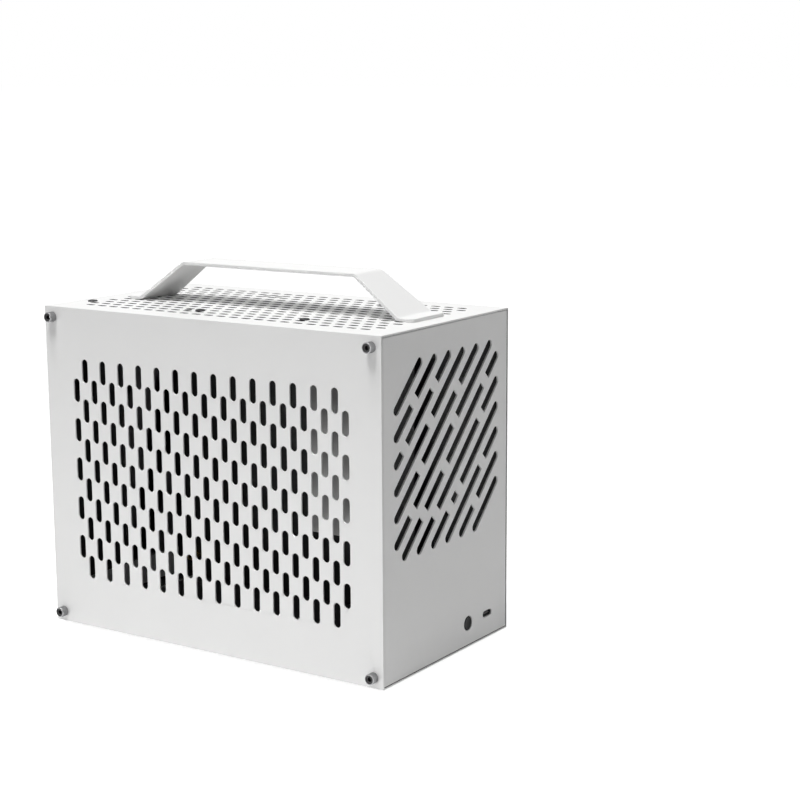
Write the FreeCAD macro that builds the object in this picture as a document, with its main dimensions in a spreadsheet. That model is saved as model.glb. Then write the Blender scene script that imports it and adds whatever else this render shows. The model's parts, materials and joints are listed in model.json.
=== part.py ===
import FreeCAD, Part
import math
import os

import Sketcher

# Mini-ITX computer case: folded steel sheets, two screwed side panels and a strip handle on the top.
# Millimetres. +X is the front with the button, -Y the slotted left side panel, +Z up.
# The origin is on the resting surface, under the middle of the case.

SIZES = [
    # Body and sheet metal
    ("case_length", 230.0),
    ("case_width", 127.0),
    ("case_height", 185.0),
    ("foot_height", 3.0),
    ("sheet", 1.0),
    ("panel_sheet", 1.0),
    ("flange", 12.0),
    ("fold_radius", 1.5),
    # Slots of the side panel
    ("side_margin_x", 22.0),
    ("side_margin_z", 35.5),
    ("side_column_pitch", 6.62),
    ("side_row_pitch", 22.78),
    ("side_slot_width", 4.3),
    ("side_slot_length", 13.6),
    # Slots and fan holes of the top cover
    ("top_margin_x", 16.0),
    ("top_margin_y", 13.0),
    ("top_column_pitch", 8.6),
    ("top_row_pitch", 7.9),
    ("top_slot_width", 2.9),
    ("top_slot_length", 5.8),
    ("fan_size", 80.0),
    ("fan_hole_pitch", 71.5),
    ("fan_hole", 4.3),
    ("fan_rear_gap", 46.75),
    # Vent of the front panel
    ("vent_side", 100.0),
    ("vent_height", 117.0),
    ("vent_shortest", 22.2),
    ("vent_slot_width", 5.2),
    ("vent_bridge", 6.5),
    # Power button and its switch
    ("button_hole", 8.5),
    ("button_gap", 0.2),
    ("button_y", 20.7),
    ("button_z", 13.7),
    ("button_collar", 1.2),
    ("button_collar_thickness", 1.2),
    ("button_stem", 2.4),
    ("button_travel", 1.2),
    ("switch_side", 6.4),
    ("switch_depth", 4.0),
    ("stem_engagement", 1.0),
    # Front port and its board
    ("port_y", 41.3),
    ("port_z", 14.2),
    ("port_width", 8.9),
    ("port_thickness", 3.2),
    ("port_wall", 0.35),
    ("port_gap", 0.3),
    ("port_setback", 0.5),
    ("port_well", 6.0),
    ("tongue_width", 6.2),
    ("tongue_thickness", 0.7),
    ("front_board_width", 48.0),
    ("front_board_height", 16.0),
    ("board_sheet", 1.6),
    ("post_length", 8.0),
    ("post_diameter", 5.0),
    ("post_inset", 4.0),
    # Small screws
    ("small_thread", 2.9),
    ("small_gap", 0.1),
    ("small_head", 5.6),
    ("small_head_length", 1.8),
    ("small_bite", 5.0),
    # Panel screws and weld nuts
    ("screw_inset", 6.0),
    ("screw_thread", 2.9),
    ("screw_gap", 0.2),
    ("screw_head", 5.8),
    ("screw_head_length", 4.4),
    ("screw_rim", 0.6),
    ("screw_dish", 0.5),
    ("screw_key", 2.5),
    ("screw_key_depth", 1.8),
    ("screw_tip", 0.8),
    ("nut_flats", 5.5),
    ("nut_thickness", 2.4),
    # Handle
    ("handle_width", 28.5),
    ("handle_sheet", 2.0),
    ("handle_grip", 118.0),
    ("handle_base", 178.4),
    ("handle_rise", 21.5),
    ("handle_foot", 9.8),
    ("handle_shift", 4.5),
    ("handle_bend", 3.0),
    ("handle_corner", 3.5),
    ("stud_pitch", 23.7),
    ("stud_thread", 3.0),
    ("stud_gap", 0.2),
    ("stud_tip", 0.8),
    ("stud_nut_flats", 5.5),
    ("stud_nut_thickness", 2.4),
    # Board tray and stand-offs
    ("tray_wall_gap", 13.3),
    ("tray_lip", 10.0),
    ("tray_front", 62.0),
    ("tray_end_gap", 1.5),
    ("tray_rear_gap", 4.0),
    ("board_rear_gap", 1.8),
    ("board_hole_inset", 10.16),
    ("board_hole_x", 154.94),
    ("board_hole_z", 157.48),
    ("board_centre_z", 94.0),
    ("standoff_flats", 5.0),
    ("standoff_length", 6.5),
    ("standoff_shank", 4.2),
    ("standoff_bore", 2.5),
    # Power supply bracket
    ("bracket_depth", 51.0),
    ("bracket_setback", 7.3),
    ("bracket_gap", 0.4),
    ("bracket_low", 76.0),
    ("bracket_top_gap", 10.0),
    ("bracket_hole", 3.4),
    ("bracket_hole_x", 16.0),
    ("bracket_hole_z", 76.0),
    # Rear aperture, expansion slot and power inlet
    ("aperture_y", 44.45),
    ("aperture_z", 158.75),
    ("aperture_top_gap", 4.3),
    ("aperture_board_gap", 0.5),
    ("expansion_y", 72.0),
    ("expansion_z", 12.0),
    ("expansion_low_gap", 3.5),
    ("cover_lap", 2.0),
    ("cover_tab", 9.0),
    ("cover_sheet", 0.8),
    ("shield_lap", 1.2),
    ("shield_gap", 0.2),
    ("inlet_y", -34.0),
    ("inlet_z", 147.0),
    ("inlet_face_y", 20.0),
    ("inlet_face_z", 27.6),
    ("inlet_corner", 4.0),
    ("inlet_gap", 0.2),
    ("inlet_flange_y", 24.0),
    ("inlet_flange_z", 50.0),
    ("inlet_flange", 2.4),
    ("inlet_hole_pitch", 40.0),
    ("inlet_depth", 18.0),
    ("inlet_wall", 1.8),
    ("inlet_well", 13.0),
    ("pin_y", 4.0),
    ("pin_z", 2.0),
    ("pin_pitch", 7.0),
    ("pin_shift", 3.0),
    ("pin_length", 8.0),
    # Feet
    ("foot_inset", 26.0),
    ("foot_diameter", 12.0),
    ("foot_taper", 1.0),
    ("foot_stem", 4.0),
    ("foot_barb", 1.0),
    ("foot_barb_height", 1.6),
]

# Where each of the front's diagonals is bridged, as shares of its length from the lower end.
VENT_BRIDGES = [
    [],
    [0.46],
    [0.15, 0.72],
    [0.50],
    [0.29, 0.76],
    [0.16, 0.61],
    [0.20, 0.43, 0.87],
    [0.21, 0.79],
    [0.26, 0.40],
    [0.71],
    [0.40],
    [],
]

doc = FreeCAD.newDocument("mini_itx_case")
dims = doc.addObject("Spreadsheet::Sheet", "dims")
for row, (alias, value) in enumerate(SIZES, start=1):
    dims.set(f"A{row}", alias)
    dims.set(f"B{row}", str(value))
    dims.setAlias(f"B{row}", alias)
doc.recompute()

# Places and sizes that several pieces share, as formulas on the sheet.
FRONT = "(dims.case_length / 2)"
FRONT_INSIDE = "(dims.case_length / 2 - dims.sheet)"
FRAME_SIDE = "(dims.case_width / 2 - dims.panel_sheet)"
FRAME_INSIDE = "(dims.case_width / 2 - dims.panel_sheet - dims.sheet)"
BODY_TOP = "(dims.foot_height + dims.case_height)"
FLOOR = "(dims.foot_height + dims.sheet)"
CLEAR_HEIGHT = "(dims.case_height - 2 * dims.sheet)"
SMALL_HOLE = "(dims.small_thread + 2 * dims.small_gap)"
SCREW_X = "(dims.case_length / 2 - dims.screw_inset)"
SCREW_HEIGHTS = ("dims.screw_inset", "(dims.case_height - dims.screw_inset)")
SCREW_HOLE = "(dims.screw_thread + 2 * dims.screw_gap)"
STUD_HOLE = "(dims.stud_thread + 2 * dims.stud_gap)"
STUD_X = "(dims.handle_base / 2 + dims.handle_foot / 2)"
TRAY_FACE = f"({FRAME_INSIDE} - dims.tray_wall_gap)"
TRAY_REAR = f"(-{FRONT} + dims.flange + dims.tray_end_gap)"
BOARD_FACE = f"({TRAY_FACE} - dims.standoff_length)"
BOARD_HOLE_REAR = f"(-{FRONT} + dims.sheet + dims.board_rear_gap + dims.board_hole_inset)"
EXPANSION_Z = "(2 * dims.sheet + dims.expansion_low_gap + dims.expansion_z / 2)"
EXPANSION_LOW_Y = f"({BOARD_FACE} - dims.expansion_y)"
COVER_SCREW_Y = f"({EXPANSION_LOW_Y} - dims.cover_tab / 2)"
APERTURE_HIGH_Y = f"({BOARD_FACE} + dims.aperture_board_gap)"
APERTURE_HIGH_Z = f"({CLEAR_HEIGHT} - dims.aperture_top_gap)"
FRONT_BOARD_X = f"({FRONT_INSIDE} - dims.post_length)"
FRONT_BOARD_Y = "((dims.button_y + dims.port_y) / 2)"
POST_Y = "(dims.front_board_width / 2 - dims.post_inset)"
SIDES = (-1, 1)


def number(formula):
    """The present value of a formula on the sheet."""
    return float(dims.evalExpression(formula))


def place(piece, x="0", y="0", z="0", axis=None, turn=0):
    """Turn a piece and tie its place to the sheet."""
    if axis:
        piece.Placement = FreeCAD.Placement(FreeCAD.Vector(), FreeCAD.Rotation(FreeCAD.Vector(*axis), turn))
    for letter, formula in zip("xyz", (x, y, z)):
        piece.setExpression(f"Placement.Base.{letter}", formula)
    return piece


def new_body(name):
    """An empty body."""
    body = doc.addObject("PartDesign::Body", name)
    body.Label = name
    return body


def new_sketch(body, role, offset=None):
    """A sketch on one of the body's own planes, moved along its normal by a formula."""
    sketch = body.newObject("Sketcher::SketchObject", f"{body.Name}_sketch")
    plane = next(feature for feature in body.Origin.OriginFeatures if feature.Role == role)
    sketch.AttachmentSupport = [(plane, "")]
    sketch.MapMode = "FlatFace"
    if offset:
        sketch.setExpression("AttachmentOffset.Base.z", offset)
    return sketch


def pin(sketch, geometry, point, x, y):
    """Hold one point of a sketch at two formulas."""
    for kind, formula in (("DistanceX", x), ("DistanceY", y)):
        index = sketch.addConstraint(Sketcher.Constraint(kind, -1, 1, geometry, point, number(formula)))
        sketch.setExpression(f"Constraints[{index}]", formula)


def outline(sketch, corners):
    """A closed outline of straight lines through corners given as pairs of formulas."""
    points = [FreeCAD.Vector(number(x), number(y), 0) for x, y in corners]
    lines = []
    for here, after in zip(points, points[1:] + points[:1]):
        lines.append(sketch.addGeometry(Part.LineSegment(here, after)))
    for line, after in zip(lines, lines[1:] + lines[:1]):
        sketch.addConstraint(Sketcher.Constraint("Coincident", line, 2, after, 1))
    for line, (x, y) in zip(lines, corners):
        pin(sketch, line, 1, x, y)


def rectangle(sketch, low_x, high_x, low_y, high_y):
    """An upright rectangle between four formulas."""
    outline(sketch, [(low_x, low_y), (high_x, low_y), (high_x, high_y), (low_x, high_y)])


def chamfered(sketch, x, y, width, height, corner):
    """A rectangle about a centre, with its corners cut off."""
    across = f"({width}) / 2"
    up = f"({height}) / 2"
    outline(sketch, [
        (f"{x} - {across} + {corner}", f"{y} - {up}"),
        (f"{x} + {across} - {corner}", f"{y} - {up}"),
        (f"{x} + {across}", f"{y} - {up} + {corner}"),
        (f"{x} + {across}", f"{y} + {up} - {corner}"),
        (f"{x} + {across} - {corner}", f"{y} + {up}"),
        (f"{x} - {across} + {corner}", f"{y} + {up}"),
        (f"{x} - {across}", f"{y} + {up} - {corner}"),
        (f"{x} - {across}", f"{y} - {up} + {corner}"),
    ])


def hexagon(sketch, flats):
    """A hexagon about the sketch's origin, given its width across the flats."""
    corners = []
    for corner in range(6):
        angle = math.radians(60 * corner)
        corners.append((
            f"{flats} / sqrt(3) * {math.cos(angle):.6f}",
            f"{flats} / sqrt(3) * {math.sin(angle):.6f}",
        ))
    outline(sketch, corners)


def circle(sketch, x, y, diameter):
    """A circle at a pair of formulas."""
    centre = FreeCAD.Vector(number(x), number(y), 0)
    ring = sketch.addGeometry(Part.Circle(centre, FreeCAD.Vector(0, 0, 1), number(diameter) / 2))
    pin(sketch, ring, 3, x, y)
    index = sketch.addConstraint(Sketcher.Constraint("Diameter", ring, number(diameter)))
    sketch.setExpression(f"Constraints[{index}]", diameter)


def new_feature(sketch, kind):
    """A feature of the sketch's own body that works on that sketch."""
    body = sketch.getParentGeoFeatureGroup()
    feature = body.newObject(f"PartDesign::{kind}", f"{body.Name}_{kind.lower()}")
    feature.Profile = sketch
    return feature


def pad(sketch, length, reverse=False, both=False):
    """Thicken a sketch along its normal, against it, or half to each side."""
    feature = new_feature(sketch, "Pad")
    feature.setExpression("Length", length)
    feature.Reversed = reverse
    feature.Midplane = both
    doc.recompute()
    return feature


def cut_through(sketch):
    """Cut a sketch right through its body, both ways."""
    feature = new_feature(sketch, "Pocket")
    feature.Type = "ThroughAll"
    feature.Midplane = True
    doc.recompute()
    return feature


def cut_depth(sketch, depth, reverse=False):
    """Cut a sketch to a depth, against its normal unless reversed."""
    feature = new_feature(sketch, "Pocket")
    feature.setExpression("Length", depth)
    feature.Reversed = reverse
    doc.recompute()
    return feature


def lattice(feature, sketch, columns, column_pitch, rows, row_pitch):
    """Repeat a cut along both axes of its sketch."""
    body = sketch.getParentGeoFeatureGroup()
    grid = body.newObject("PartDesign::MultiTransform", f"{body.Name}_grid")
    grid.Originals = [feature]
    runs = []
    for axis, count, pitch in (("H_Axis", columns, column_pitch), ("V_Axis", rows, row_pitch)):
        run = body.newObject("PartDesign::LinearPattern", f"{body.Name}_run")
        run.Direction = (sketch, [axis])
        run.setExpression("Length", f"({count} - 1) * {pitch}")
        run.setExpression("Occurrences", count)
        runs.append(run)
    grid.Transformations = runs
    body.Tip = grid
    doc.recompute()


def fillet(feature, radius, wanted):
    """Round the edges of a feature that a test picks out by their middle and direction."""
    names = []
    for index, edge in enumerate(feature.Shape.Edges, start=1):
        middle = edge.BoundBox.Center
        ends = [vertex.Point for vertex in edge.Vertexes]
        if len(ends) == 2 and wanted(middle, (ends[1] - ends[0]).normalize()):
            names.append(f"Edge{index}")
    body = feature.getParentGeoFeatureGroup()
    rounded = body.newObject("PartDesign::Fillet", f"{body.Name}_fillet")
    rounded.Base = (feature, names)
    rounded.setExpression("Radius", radius)
    doc.recompute()
    return rounded


def same(left, right):
    """True where two lengths agree."""
    return abs(left - right) < 1e-4


def turned(name, profile):
    """A piece turned about its own Z axis, from corners of radius and height."""
    body = new_body(name)
    sketch = new_sketch(body, "XZ_Plane")
    outline(sketch, profile)
    spun = new_feature(sketch, "Revolution")
    spun.ReferenceAxis = (sketch, ["V_Axis"])
    spun.Angle = 360
    doc.recompute()
    return body


def group(name, pieces):
    """Several loose pieces of one kind as one sub-part."""
    compound = doc.addObject("Part::Compound", name)
    compound.Label = name
    compound.Links = pieces
    return compound


def end_tray(name, end):
    """A front or rear sheet with its four edges folded back, before its own cut-outs.

    Its outer face is the body's YZ plane, and the folded edges point to the middle of the case.
    """
    body = new_body(name)
    place(body, x=f"{end} * {FRONT}", z=FLOOR)
    front_side = end > 0
    block = new_sketch(body, "YZ_Plane")
    rectangle(block, f"-{FRAME_SIDE}", FRAME_SIDE, "0", CLEAR_HEIGHT)
    solid = pad(block, "dims.flange", reverse=front_side)
    fillet(solid, "dims.fold_radius", lambda middle, way: same(middle.x, 0) and same(way.x, 0))
    hollow = new_sketch(body, "YZ_Plane", f"{-end} * dims.sheet")
    rectangle(hollow, f"-{FRAME_INSIDE}", FRAME_INSIDE, "dims.sheet", f"{CLEAR_HEIGHT} - dims.sheet")
    cut_depth(hollow, "dims.flange", reverse=not front_side)
    holes = new_sketch(body, "XZ_Plane")
    for height in SCREW_HEIGHTS:
        circle(holes, f"{-end} * dims.screw_inset", f"{height} - dims.sheet", SCREW_HOLE)
    cut_through(holes)
    return body


def diagonal_slot(sketch, start, end, round_start, round_end):
    """One slot of the front vent along a line that rises at 45 degrees.

    Its ends are pairs of formulas. An outer end is rounded by three flats, a bridged end is square.
    """
    half = "dims.vent_slot_width / 2 / sqrt(2)"
    flat = f"{half} * (sqrt(2) - 1)"
    corners = []
    for (x, y), rounded, way in ((start, round_start, -1), (end, round_end, 1)):
        if rounded:
            for along, across in ((flat, half), (half, flat), (half, f"-{flat}"), (flat, f"-{half}")):
                corners.append((f"{x} + {way} * ({along} + {across})", f"{y} + {way} * ({along} - {across})"))
        else:
            for across in (half, f"-{half}"):
                corners.append((f"{x} + {way} * {across}", f"{y} - {way} * {across}"))
    outline(sketch, corners)


def make_front_panel():
    """The front sheet with the broken diagonals of its vent, the button hole and the port cut-out."""
    body = end_tray("front_panel", 1)
    last = len(VENT_BRIDGES) - 1
    gap = "dims.vent_bridge / 2 / sqrt(2)"
    for row, bridges in enumerate(VENT_BRIDGES):
        shift = f"({last} / 2 - {row}) * 2 * (dims.vent_side - dims.vent_shortest) / {last}"
        run = f"(dims.vent_side - abs({shift}))"
        low_y = f"(-dims.vent_side / 2 + max(0; -({shift})))"
        low_z = f"(dims.vent_height - dims.sheet - dims.vent_side / 2 + max(0; {shift}))"
        marks = ["0"]
        for share in bridges:
            marks += [f"({share} * {run} - {gap})", f"({share} * {run} + {gap})"]
        marks.append(run)
        vent = new_sketch(body, "YZ_Plane")
        for start, end in zip(marks[0::2], marks[1::2]):
            diagonal_slot(
                vent,
                (f"{low_y} + {start}", f"{low_z} + {start}"),
                (f"{low_y} + {end}", f"{low_z} + {end}"),
                start == marks[0],
                end == marks[-1],
            )
        cut_through(vent)
    openings = new_sketch(body, "YZ_Plane")
    circle(openings, "dims.button_y", "dims.button_z - dims.sheet", "dims.button_hole")
    chamfered(
        openings, "dims.port_y", "dims.port_z - dims.sheet",
        "dims.port_width + 2 * dims.port_gap", "dims.port_thickness + 2 * dims.port_gap",
        "dims.port_thickness / 3")
    cut_through(openings)
    return body


def inlet_outline(sketch, y, z, inset):
    """The power inlet's face: a rectangle with its two corners towards +Y cut off."""
    low_y = f"{y} - dims.inlet_face_y / 2 + {inset}"
    high_y = f"{y} + dims.inlet_face_y / 2 - {inset}"
    low_z = f"{z} - dims.inlet_face_z / 2 + {inset}"
    high_z = f"{z} + dims.inlet_face_z / 2 - {inset}"
    outline(sketch, [
        (low_y, low_z),
        (f"{high_y} - dims.inlet_corner", low_z),
        (high_y, f"{low_z} + dims.inlet_corner"),
        (high_y, f"{high_z} - dims.inlet_corner"),
        (f"{high_y} - dims.inlet_corner", high_z),
        (low_y, high_z),
    ])


def aperture_outline(sketch, grow):
    """The board's aperture in the rear panel, made larger all round by a formula."""
    rectangle(
        sketch,
        f"{APERTURE_HIGH_Y} - dims.aperture_y - ({grow})", f"{APERTURE_HIGH_Y} + {grow}",
        f"{APERTURE_HIGH_Z} - dims.aperture_z - ({grow})", f"{APERTURE_HIGH_Z} + {grow}")


def make_rear_panel():
    """The rear sheet with the board's aperture, one expansion slot and the power inlet's cut-out."""
    body = end_tray("rear_panel", -1)
    cutouts = new_sketch(body, "YZ_Plane")
    aperture_outline(cutouts, "0")
    slot_z = f"{EXPANSION_Z} - dims.sheet"
    rectangle(
        cutouts, EXPANSION_LOW_Y, BOARD_FACE,
        f"{slot_z} - dims.expansion_z / 2", f"{slot_z} + dims.expansion_z / 2")
    circle(cutouts, COVER_SCREW_Y, slot_z, SMALL_HOLE)
    inlet_z = "(dims.inlet_z - dims.sheet)"
    inlet_outline(cutouts, "dims.inlet_y", inlet_z, "0")
    for way in SIDES:
        circle(cutouts, "dims.inlet_y", f"{inlet_z} + {way} * dims.inlet_hole_pitch / 2", SMALL_HOLE)
    cut_through(cutouts)
    return body


def stud_places():
    """Where the handle's studs go through the top cover, from the middle of the handle."""
    return [(f"{x} * {STUD_X}", f"{y} * dims.stud_pitch / 2") for x in SIDES for y in SIDES]


def fan_places():
    """The holes of two fans side by side under the top cover, the first next to the rear."""
    places = []
    for fan in range(2):
        centre = f"-{FRONT} + dims.fan_rear_gap + {fan} * dims.fan_size"
        places += [
            (f"{centre} + {x} * dims.fan_hole_pitch / 2", f"{y} * dims.fan_hole_pitch / 2")
            for x in SIDES for y in SIDES
        ]
    return places


def make_top_cover():
    """The flat top sheet: staggered slots, with the fan and handle holes between their rows."""
    body = new_body("top_cover")
    place(body, z=f"{BODY_TOP} - dims.sheet")
    blank = new_sketch(body, "XY_Plane")
    rectangle(blank, f"-{FRONT}", FRONT, f"-{FRAME_SIDE}", FRAME_SIDE)
    for x, y in fan_places():
        circle(blank, x, y, "dims.fan_hole")
    for x, y in stud_places():
        circle(blank, f"dims.handle_shift + {x}", y, STUD_HOLE)
    pad(blank, "dims.sheet")
    most_columns = "(floor((dims.case_length - 2 * dims.top_margin_x) / dims.top_column_pitch) + 1)"
    most_rows = f"(floor(({FRAME_SIDE} - dims.top_margin_y) / dims.top_row_pitch) + 1)"
    for columns, rows in ((f"({most_columns} - 1)", most_rows), (most_columns, f"({most_rows} - 1)")):
        x = f"-({columns} - 1) / 2 * dims.top_column_pitch"
        y = f"-({rows} - 1) * dims.top_row_pitch"
        slot = new_sketch(body, "XY_Plane")
        rectangle(
            slot,
            f"{x} - dims.top_slot_length / 2", f"{x} + dims.top_slot_length / 2",
            f"{y} - dims.top_slot_width / 2", f"{y} + dims.top_slot_width / 2")
        lattice(cut_through(slot), slot, columns, "dims.top_column_pitch", rows, "2 * dims.top_row_pitch")
    return body


def make_bottom_plate():
    """The flat bottom sheet with holes for the stems of the feet."""
    body = new_body("bottom_plate")
    place(body, z="dims.foot_height")
    blank = new_sketch(body, "XY_Plane")
    rectangle(blank, f"-{FRONT}", FRONT, f"-{FRAME_SIDE}", FRAME_SIDE)
    for x, y in foot_places():
        circle(blank, x, y, "dims.foot_stem + 2 * dims.small_gap")
    pad(blank, "dims.sheet")
    return body


def foot_places():
    """The four feet, set in from the corners."""
    return [
        (f"{x} * (dims.case_length / 2 - dims.foot_inset)", f"{y} * (dims.case_width / 2 - dims.foot_inset)")
        for x in SIDES for y in SIDES
    ]


def make_feet():
    """Rubber feet, each held by a barbed stem pushed through the bottom plate."""
    stem = "dims.foot_stem / 2"
    above = f"{FLOOR} + dims.foot_barb_height"
    feet = []
    for index, (x, y) in enumerate(foot_places(), start=1):
        foot = turned(f"foot_{index}", [
            ("0", "0"),
            ("dims.foot_diameter / 2 - dims.foot_taper", "0"),
            ("dims.foot_diameter / 2", "dims.foot_height"),
            (stem, "dims.foot_height"),
            (stem, FLOOR),
            (f"{stem} + dims.foot_barb", FLOOR),
            (stem, above),
            ("0", above),
        ])
        feet.append(place(foot, x=x, y=y))
    return group("feet", feet)


def make_side_panel(name, side, slotted):
    """A flat side sheet with a screw hole at each corner. The slotted one has staggered upright slots."""
    body = new_body(name)
    place(body, y=f"{side} * {FRAME_SIDE}", z="dims.foot_height")
    blank = new_sketch(body, "XZ_Plane")
    rectangle(blank, f"-{FRONT}", FRONT, "0", "dims.case_height")
    for way in SIDES:
        for height in SCREW_HEIGHTS:
            circle(blank, f"{way} * {SCREW_X}", height, SCREW_HOLE)
    pad(blank, "dims.panel_sheet", reverse=side > 0)
    if slotted:
        cut_side_slots(body)
    return body


def cut_side_slots(body):
    """Two lattices of slots with pointed ends, the second in the gaps of the first."""
    most_columns = f"(floor(({FRONT} - dims.side_margin_x) / dims.side_column_pitch) + 1)"
    most_rows = "(floor((dims.case_height - 2 * dims.side_margin_z) / dims.side_row_pitch) + 1)"
    half = "dims.side_slot_width / 2"
    tip = "dims.side_slot_length / 2"
    for columns, rows in ((most_columns, f"({most_rows} - 1)"), (f"({most_columns} - 1)", most_rows)):
        x = f"-({columns} - 1) * dims.side_column_pitch"
        z = f"dims.case_height / 2 - ({rows} - 1) / 2 * dims.side_row_pitch"
        slot = new_sketch(body, "XZ_Plane")
        outline(slot, [
            (f"{x} - {half}", f"{z} - {tip} + {half}"),
            (x, f"{z} - {tip}"),
            (f"{x} + {half}", f"{z} - {tip} + {half}"),
            (f"{x} + {half}", f"{z} + {tip} - {half}"),
            (x, f"{z} + {tip}"),
            (f"{x} - {half}", f"{z} + {tip} - {half}"),
        ])
        lattice(cut_through(slot), slot, columns, "2 * dims.side_column_pitch", rows, "dims.side_row_pitch")


def make_panel_screws(name, side):
    """The four socket-head screws of one side panel, with their heads outside."""
    rim = "dims.screw_head / 2 - dims.screw_rim"
    dish = "(dims.screw_head_length - dims.screw_dish)"
    thread = "dims.screw_thread / 2"
    tip = "-(dims.panel_sheet + dims.sheet + dims.nut_thickness + dims.screw_tip)"
    screws = []
    for way in SIDES:
        for height in SCREW_HEIGHTS:
            screw = turned(f"{name}_{len(screws) + 1}", [
                ("0", tip),
                (thread, tip),
                (thread, "0"),
                ("dims.screw_head / 2", "0"),
                ("dims.screw_head / 2", "dims.screw_head_length"),
                (rim, "dims.screw_head_length"),
                (rim, dish),
                ("0", dish),
            ])
            key = new_sketch(screw, "XY_Plane", dish)
            hexagon(key, "dims.screw_key")
            cut_depth(key, "dims.screw_key_depth")
            screws.append(place(
                screw, x=f"{way} * {SCREW_X}", y=f"{side} * dims.case_width / 2",
                z=f"dims.foot_height + {height}", axis=(1, 0, 0), turn=-90 * side))
    return group(name, screws)


def hexagon_nut(name, flats, thickness, bore):
    """A plain hexagon nut on its own Z axis, standing on its XY plane."""
    nut = new_body(name)
    ring = new_sketch(nut, "XY_Plane")
    hexagon(ring, flats)
    circle(ring, "0", "0", bore)
    pad(ring, thickness)
    return nut


def make_panel_nuts():
    """Weld nuts on the inside of the folded edges, one behind each panel screw."""
    bore = "dims.screw_thread + 2 * dims.small_gap"
    nuts = []
    for side in SIDES:
        for way in SIDES:
            for height in SCREW_HEIGHTS:
                nut = hexagon_nut(
                    f"panel_nut_{len(nuts) + 1}", "dims.nut_flats", "dims.nut_thickness", bore)
                nuts.append(place(
                    nut, x=f"{way} * {SCREW_X}", y=f"{side} * {FRAME_INSIDE}",
                    z=f"dims.foot_height + {height}", axis=(1, 0, 0), turn=90 * side))
    return group("panel_nuts", nuts)


def make_handle():
    """A strip bent to a flat-topped arch, its feet turned out and carrying welded studs."""
    body = new_body("handle")
    place(body, x="dims.handle_shift", z=BODY_TOP)
    grip = "(dims.handle_grip / 2)"
    base = "(dims.handle_base / 2)"
    foot = f"({base} + dims.handle_foot)"
    lean = f"({base} - {grip})"
    miter = f"(dims.handle_sheet * (sqrt({lean}^2 + dims.handle_rise^2) - {lean}) / dims.handle_rise)"
    crown = "(dims.handle_rise + dims.handle_sheet)"
    right = [
        (grip, "dims.handle_rise"),
        (base, "0"),
        (foot, "0"),
        (foot, "dims.handle_sheet"),
        (f"({base} + {miter})", "dims.handle_sheet"),
        (f"({grip} + {miter})", crown),
    ]
    strip = new_sketch(body, "XZ_Plane")
    outline(strip, right + [(f"-{x}", z) for x, z in reversed(right)])
    arch = pad(strip, "dims.handle_width", both=True)

    def at_corner(points):
        spots = [(number(x), number(z)) for x, z in points]
        return lambda middle, way: same(abs(way.y), 1) and any(
            same(abs(middle.x), x) and same(middle.z, z) for x, z in spots)

    inner = fillet(arch, "dims.handle_bend", at_corner([right[0], right[4]]))
    outer = fillet(inner, "dims.handle_bend + dims.handle_sheet", at_corner([right[1], right[5]]))
    end = number(foot)
    fillet(outer, "dims.handle_corner", lambda middle, way: same(abs(way.z), 1) and same(abs(middle.x), end))
    studs = new_sketch(body, "XY_Plane")
    for x, y in stud_places():
        circle(studs, x, y, "dims.stud_thread")
    pad(studs, "dims.sheet + dims.stud_nut_thickness + dims.stud_tip", reverse=True)
    return body


def make_handle_nuts():
    """Hexagon nuts on the handle's studs, under the top cover."""
    nuts = []
    for x, y in stud_places():
        nut = hexagon_nut(
            f"handle_nut_{len(nuts) + 1}", "dims.stud_nut_flats", "dims.stud_nut_thickness", STUD_HOLE)
        nuts.append(place(
            nut, x=f"dims.handle_shift + {x}", y=y, z=f"{BODY_TOP} - dims.sheet - dims.stud_nut_thickness"))
    return group("handle_nuts", nuts)


def standoff_places():
    """The four fixing holes of the board, seen from the side."""
    centre = "dims.foot_height + dims.board_centre_z"
    return [
        (f"{BOARD_HOLE_REAR} + {step} * dims.board_hole_x", f"{centre} + {up} * dims.board_hole_z / 2")
        for step in (0, 1) for up in SIDES
    ]


def make_motherboard_tray():
    """A sheet across the case, its long edges folded along the top and bottom of the case."""
    body = new_body("motherboard_tray")
    place(body, x=TRAY_REAR, y=TRAY_FACE, z=FLOOR)
    channel = new_sketch(body, "YZ_Plane")
    outline(channel, [
        ("0", "0"),
        ("dims.tray_lip", "0"),
        ("dims.tray_lip", "dims.sheet"),
        ("dims.sheet", "dims.sheet"),
        ("dims.sheet", f"{CLEAR_HEIGHT} - dims.sheet"),
        ("dims.tray_lip", f"{CLEAR_HEIGHT} - dims.sheet"),
        ("dims.tray_lip", CLEAR_HEIGHT),
        ("0", CLEAR_HEIGHT),
    ])
    folded = pad(channel, f"dims.tray_front - {TRAY_REAR}")
    height = number(CLEAR_HEIGHT)
    fillet(folded, "dims.fold_radius", lambda middle, way: (
        same(abs(way.x), 1) and same(middle.y, 0) and (same(middle.z, 0) or same(middle.z, height))))
    tail = new_sketch(body, "XZ_Plane")
    rectangle(
        tail, f"-{FRONT} + dims.sheet + dims.tray_rear_gap - {TRAY_REAR}", "0",
        "dims.sheet + dims.tray_end_gap", f"{CLEAR_HEIGHT} - dims.sheet - dims.tray_end_gap")
    pad(tail, "dims.sheet", reverse=True)
    holes = new_sketch(body, "XZ_Plane")
    for x, z in standoff_places():
        circle(holes, f"{x} - {TRAY_REAR}", f"{z} - {FLOOR}", "dims.standoff_shank + 2 * dims.small_gap")
    cut_through(holes)
    return body


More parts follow.
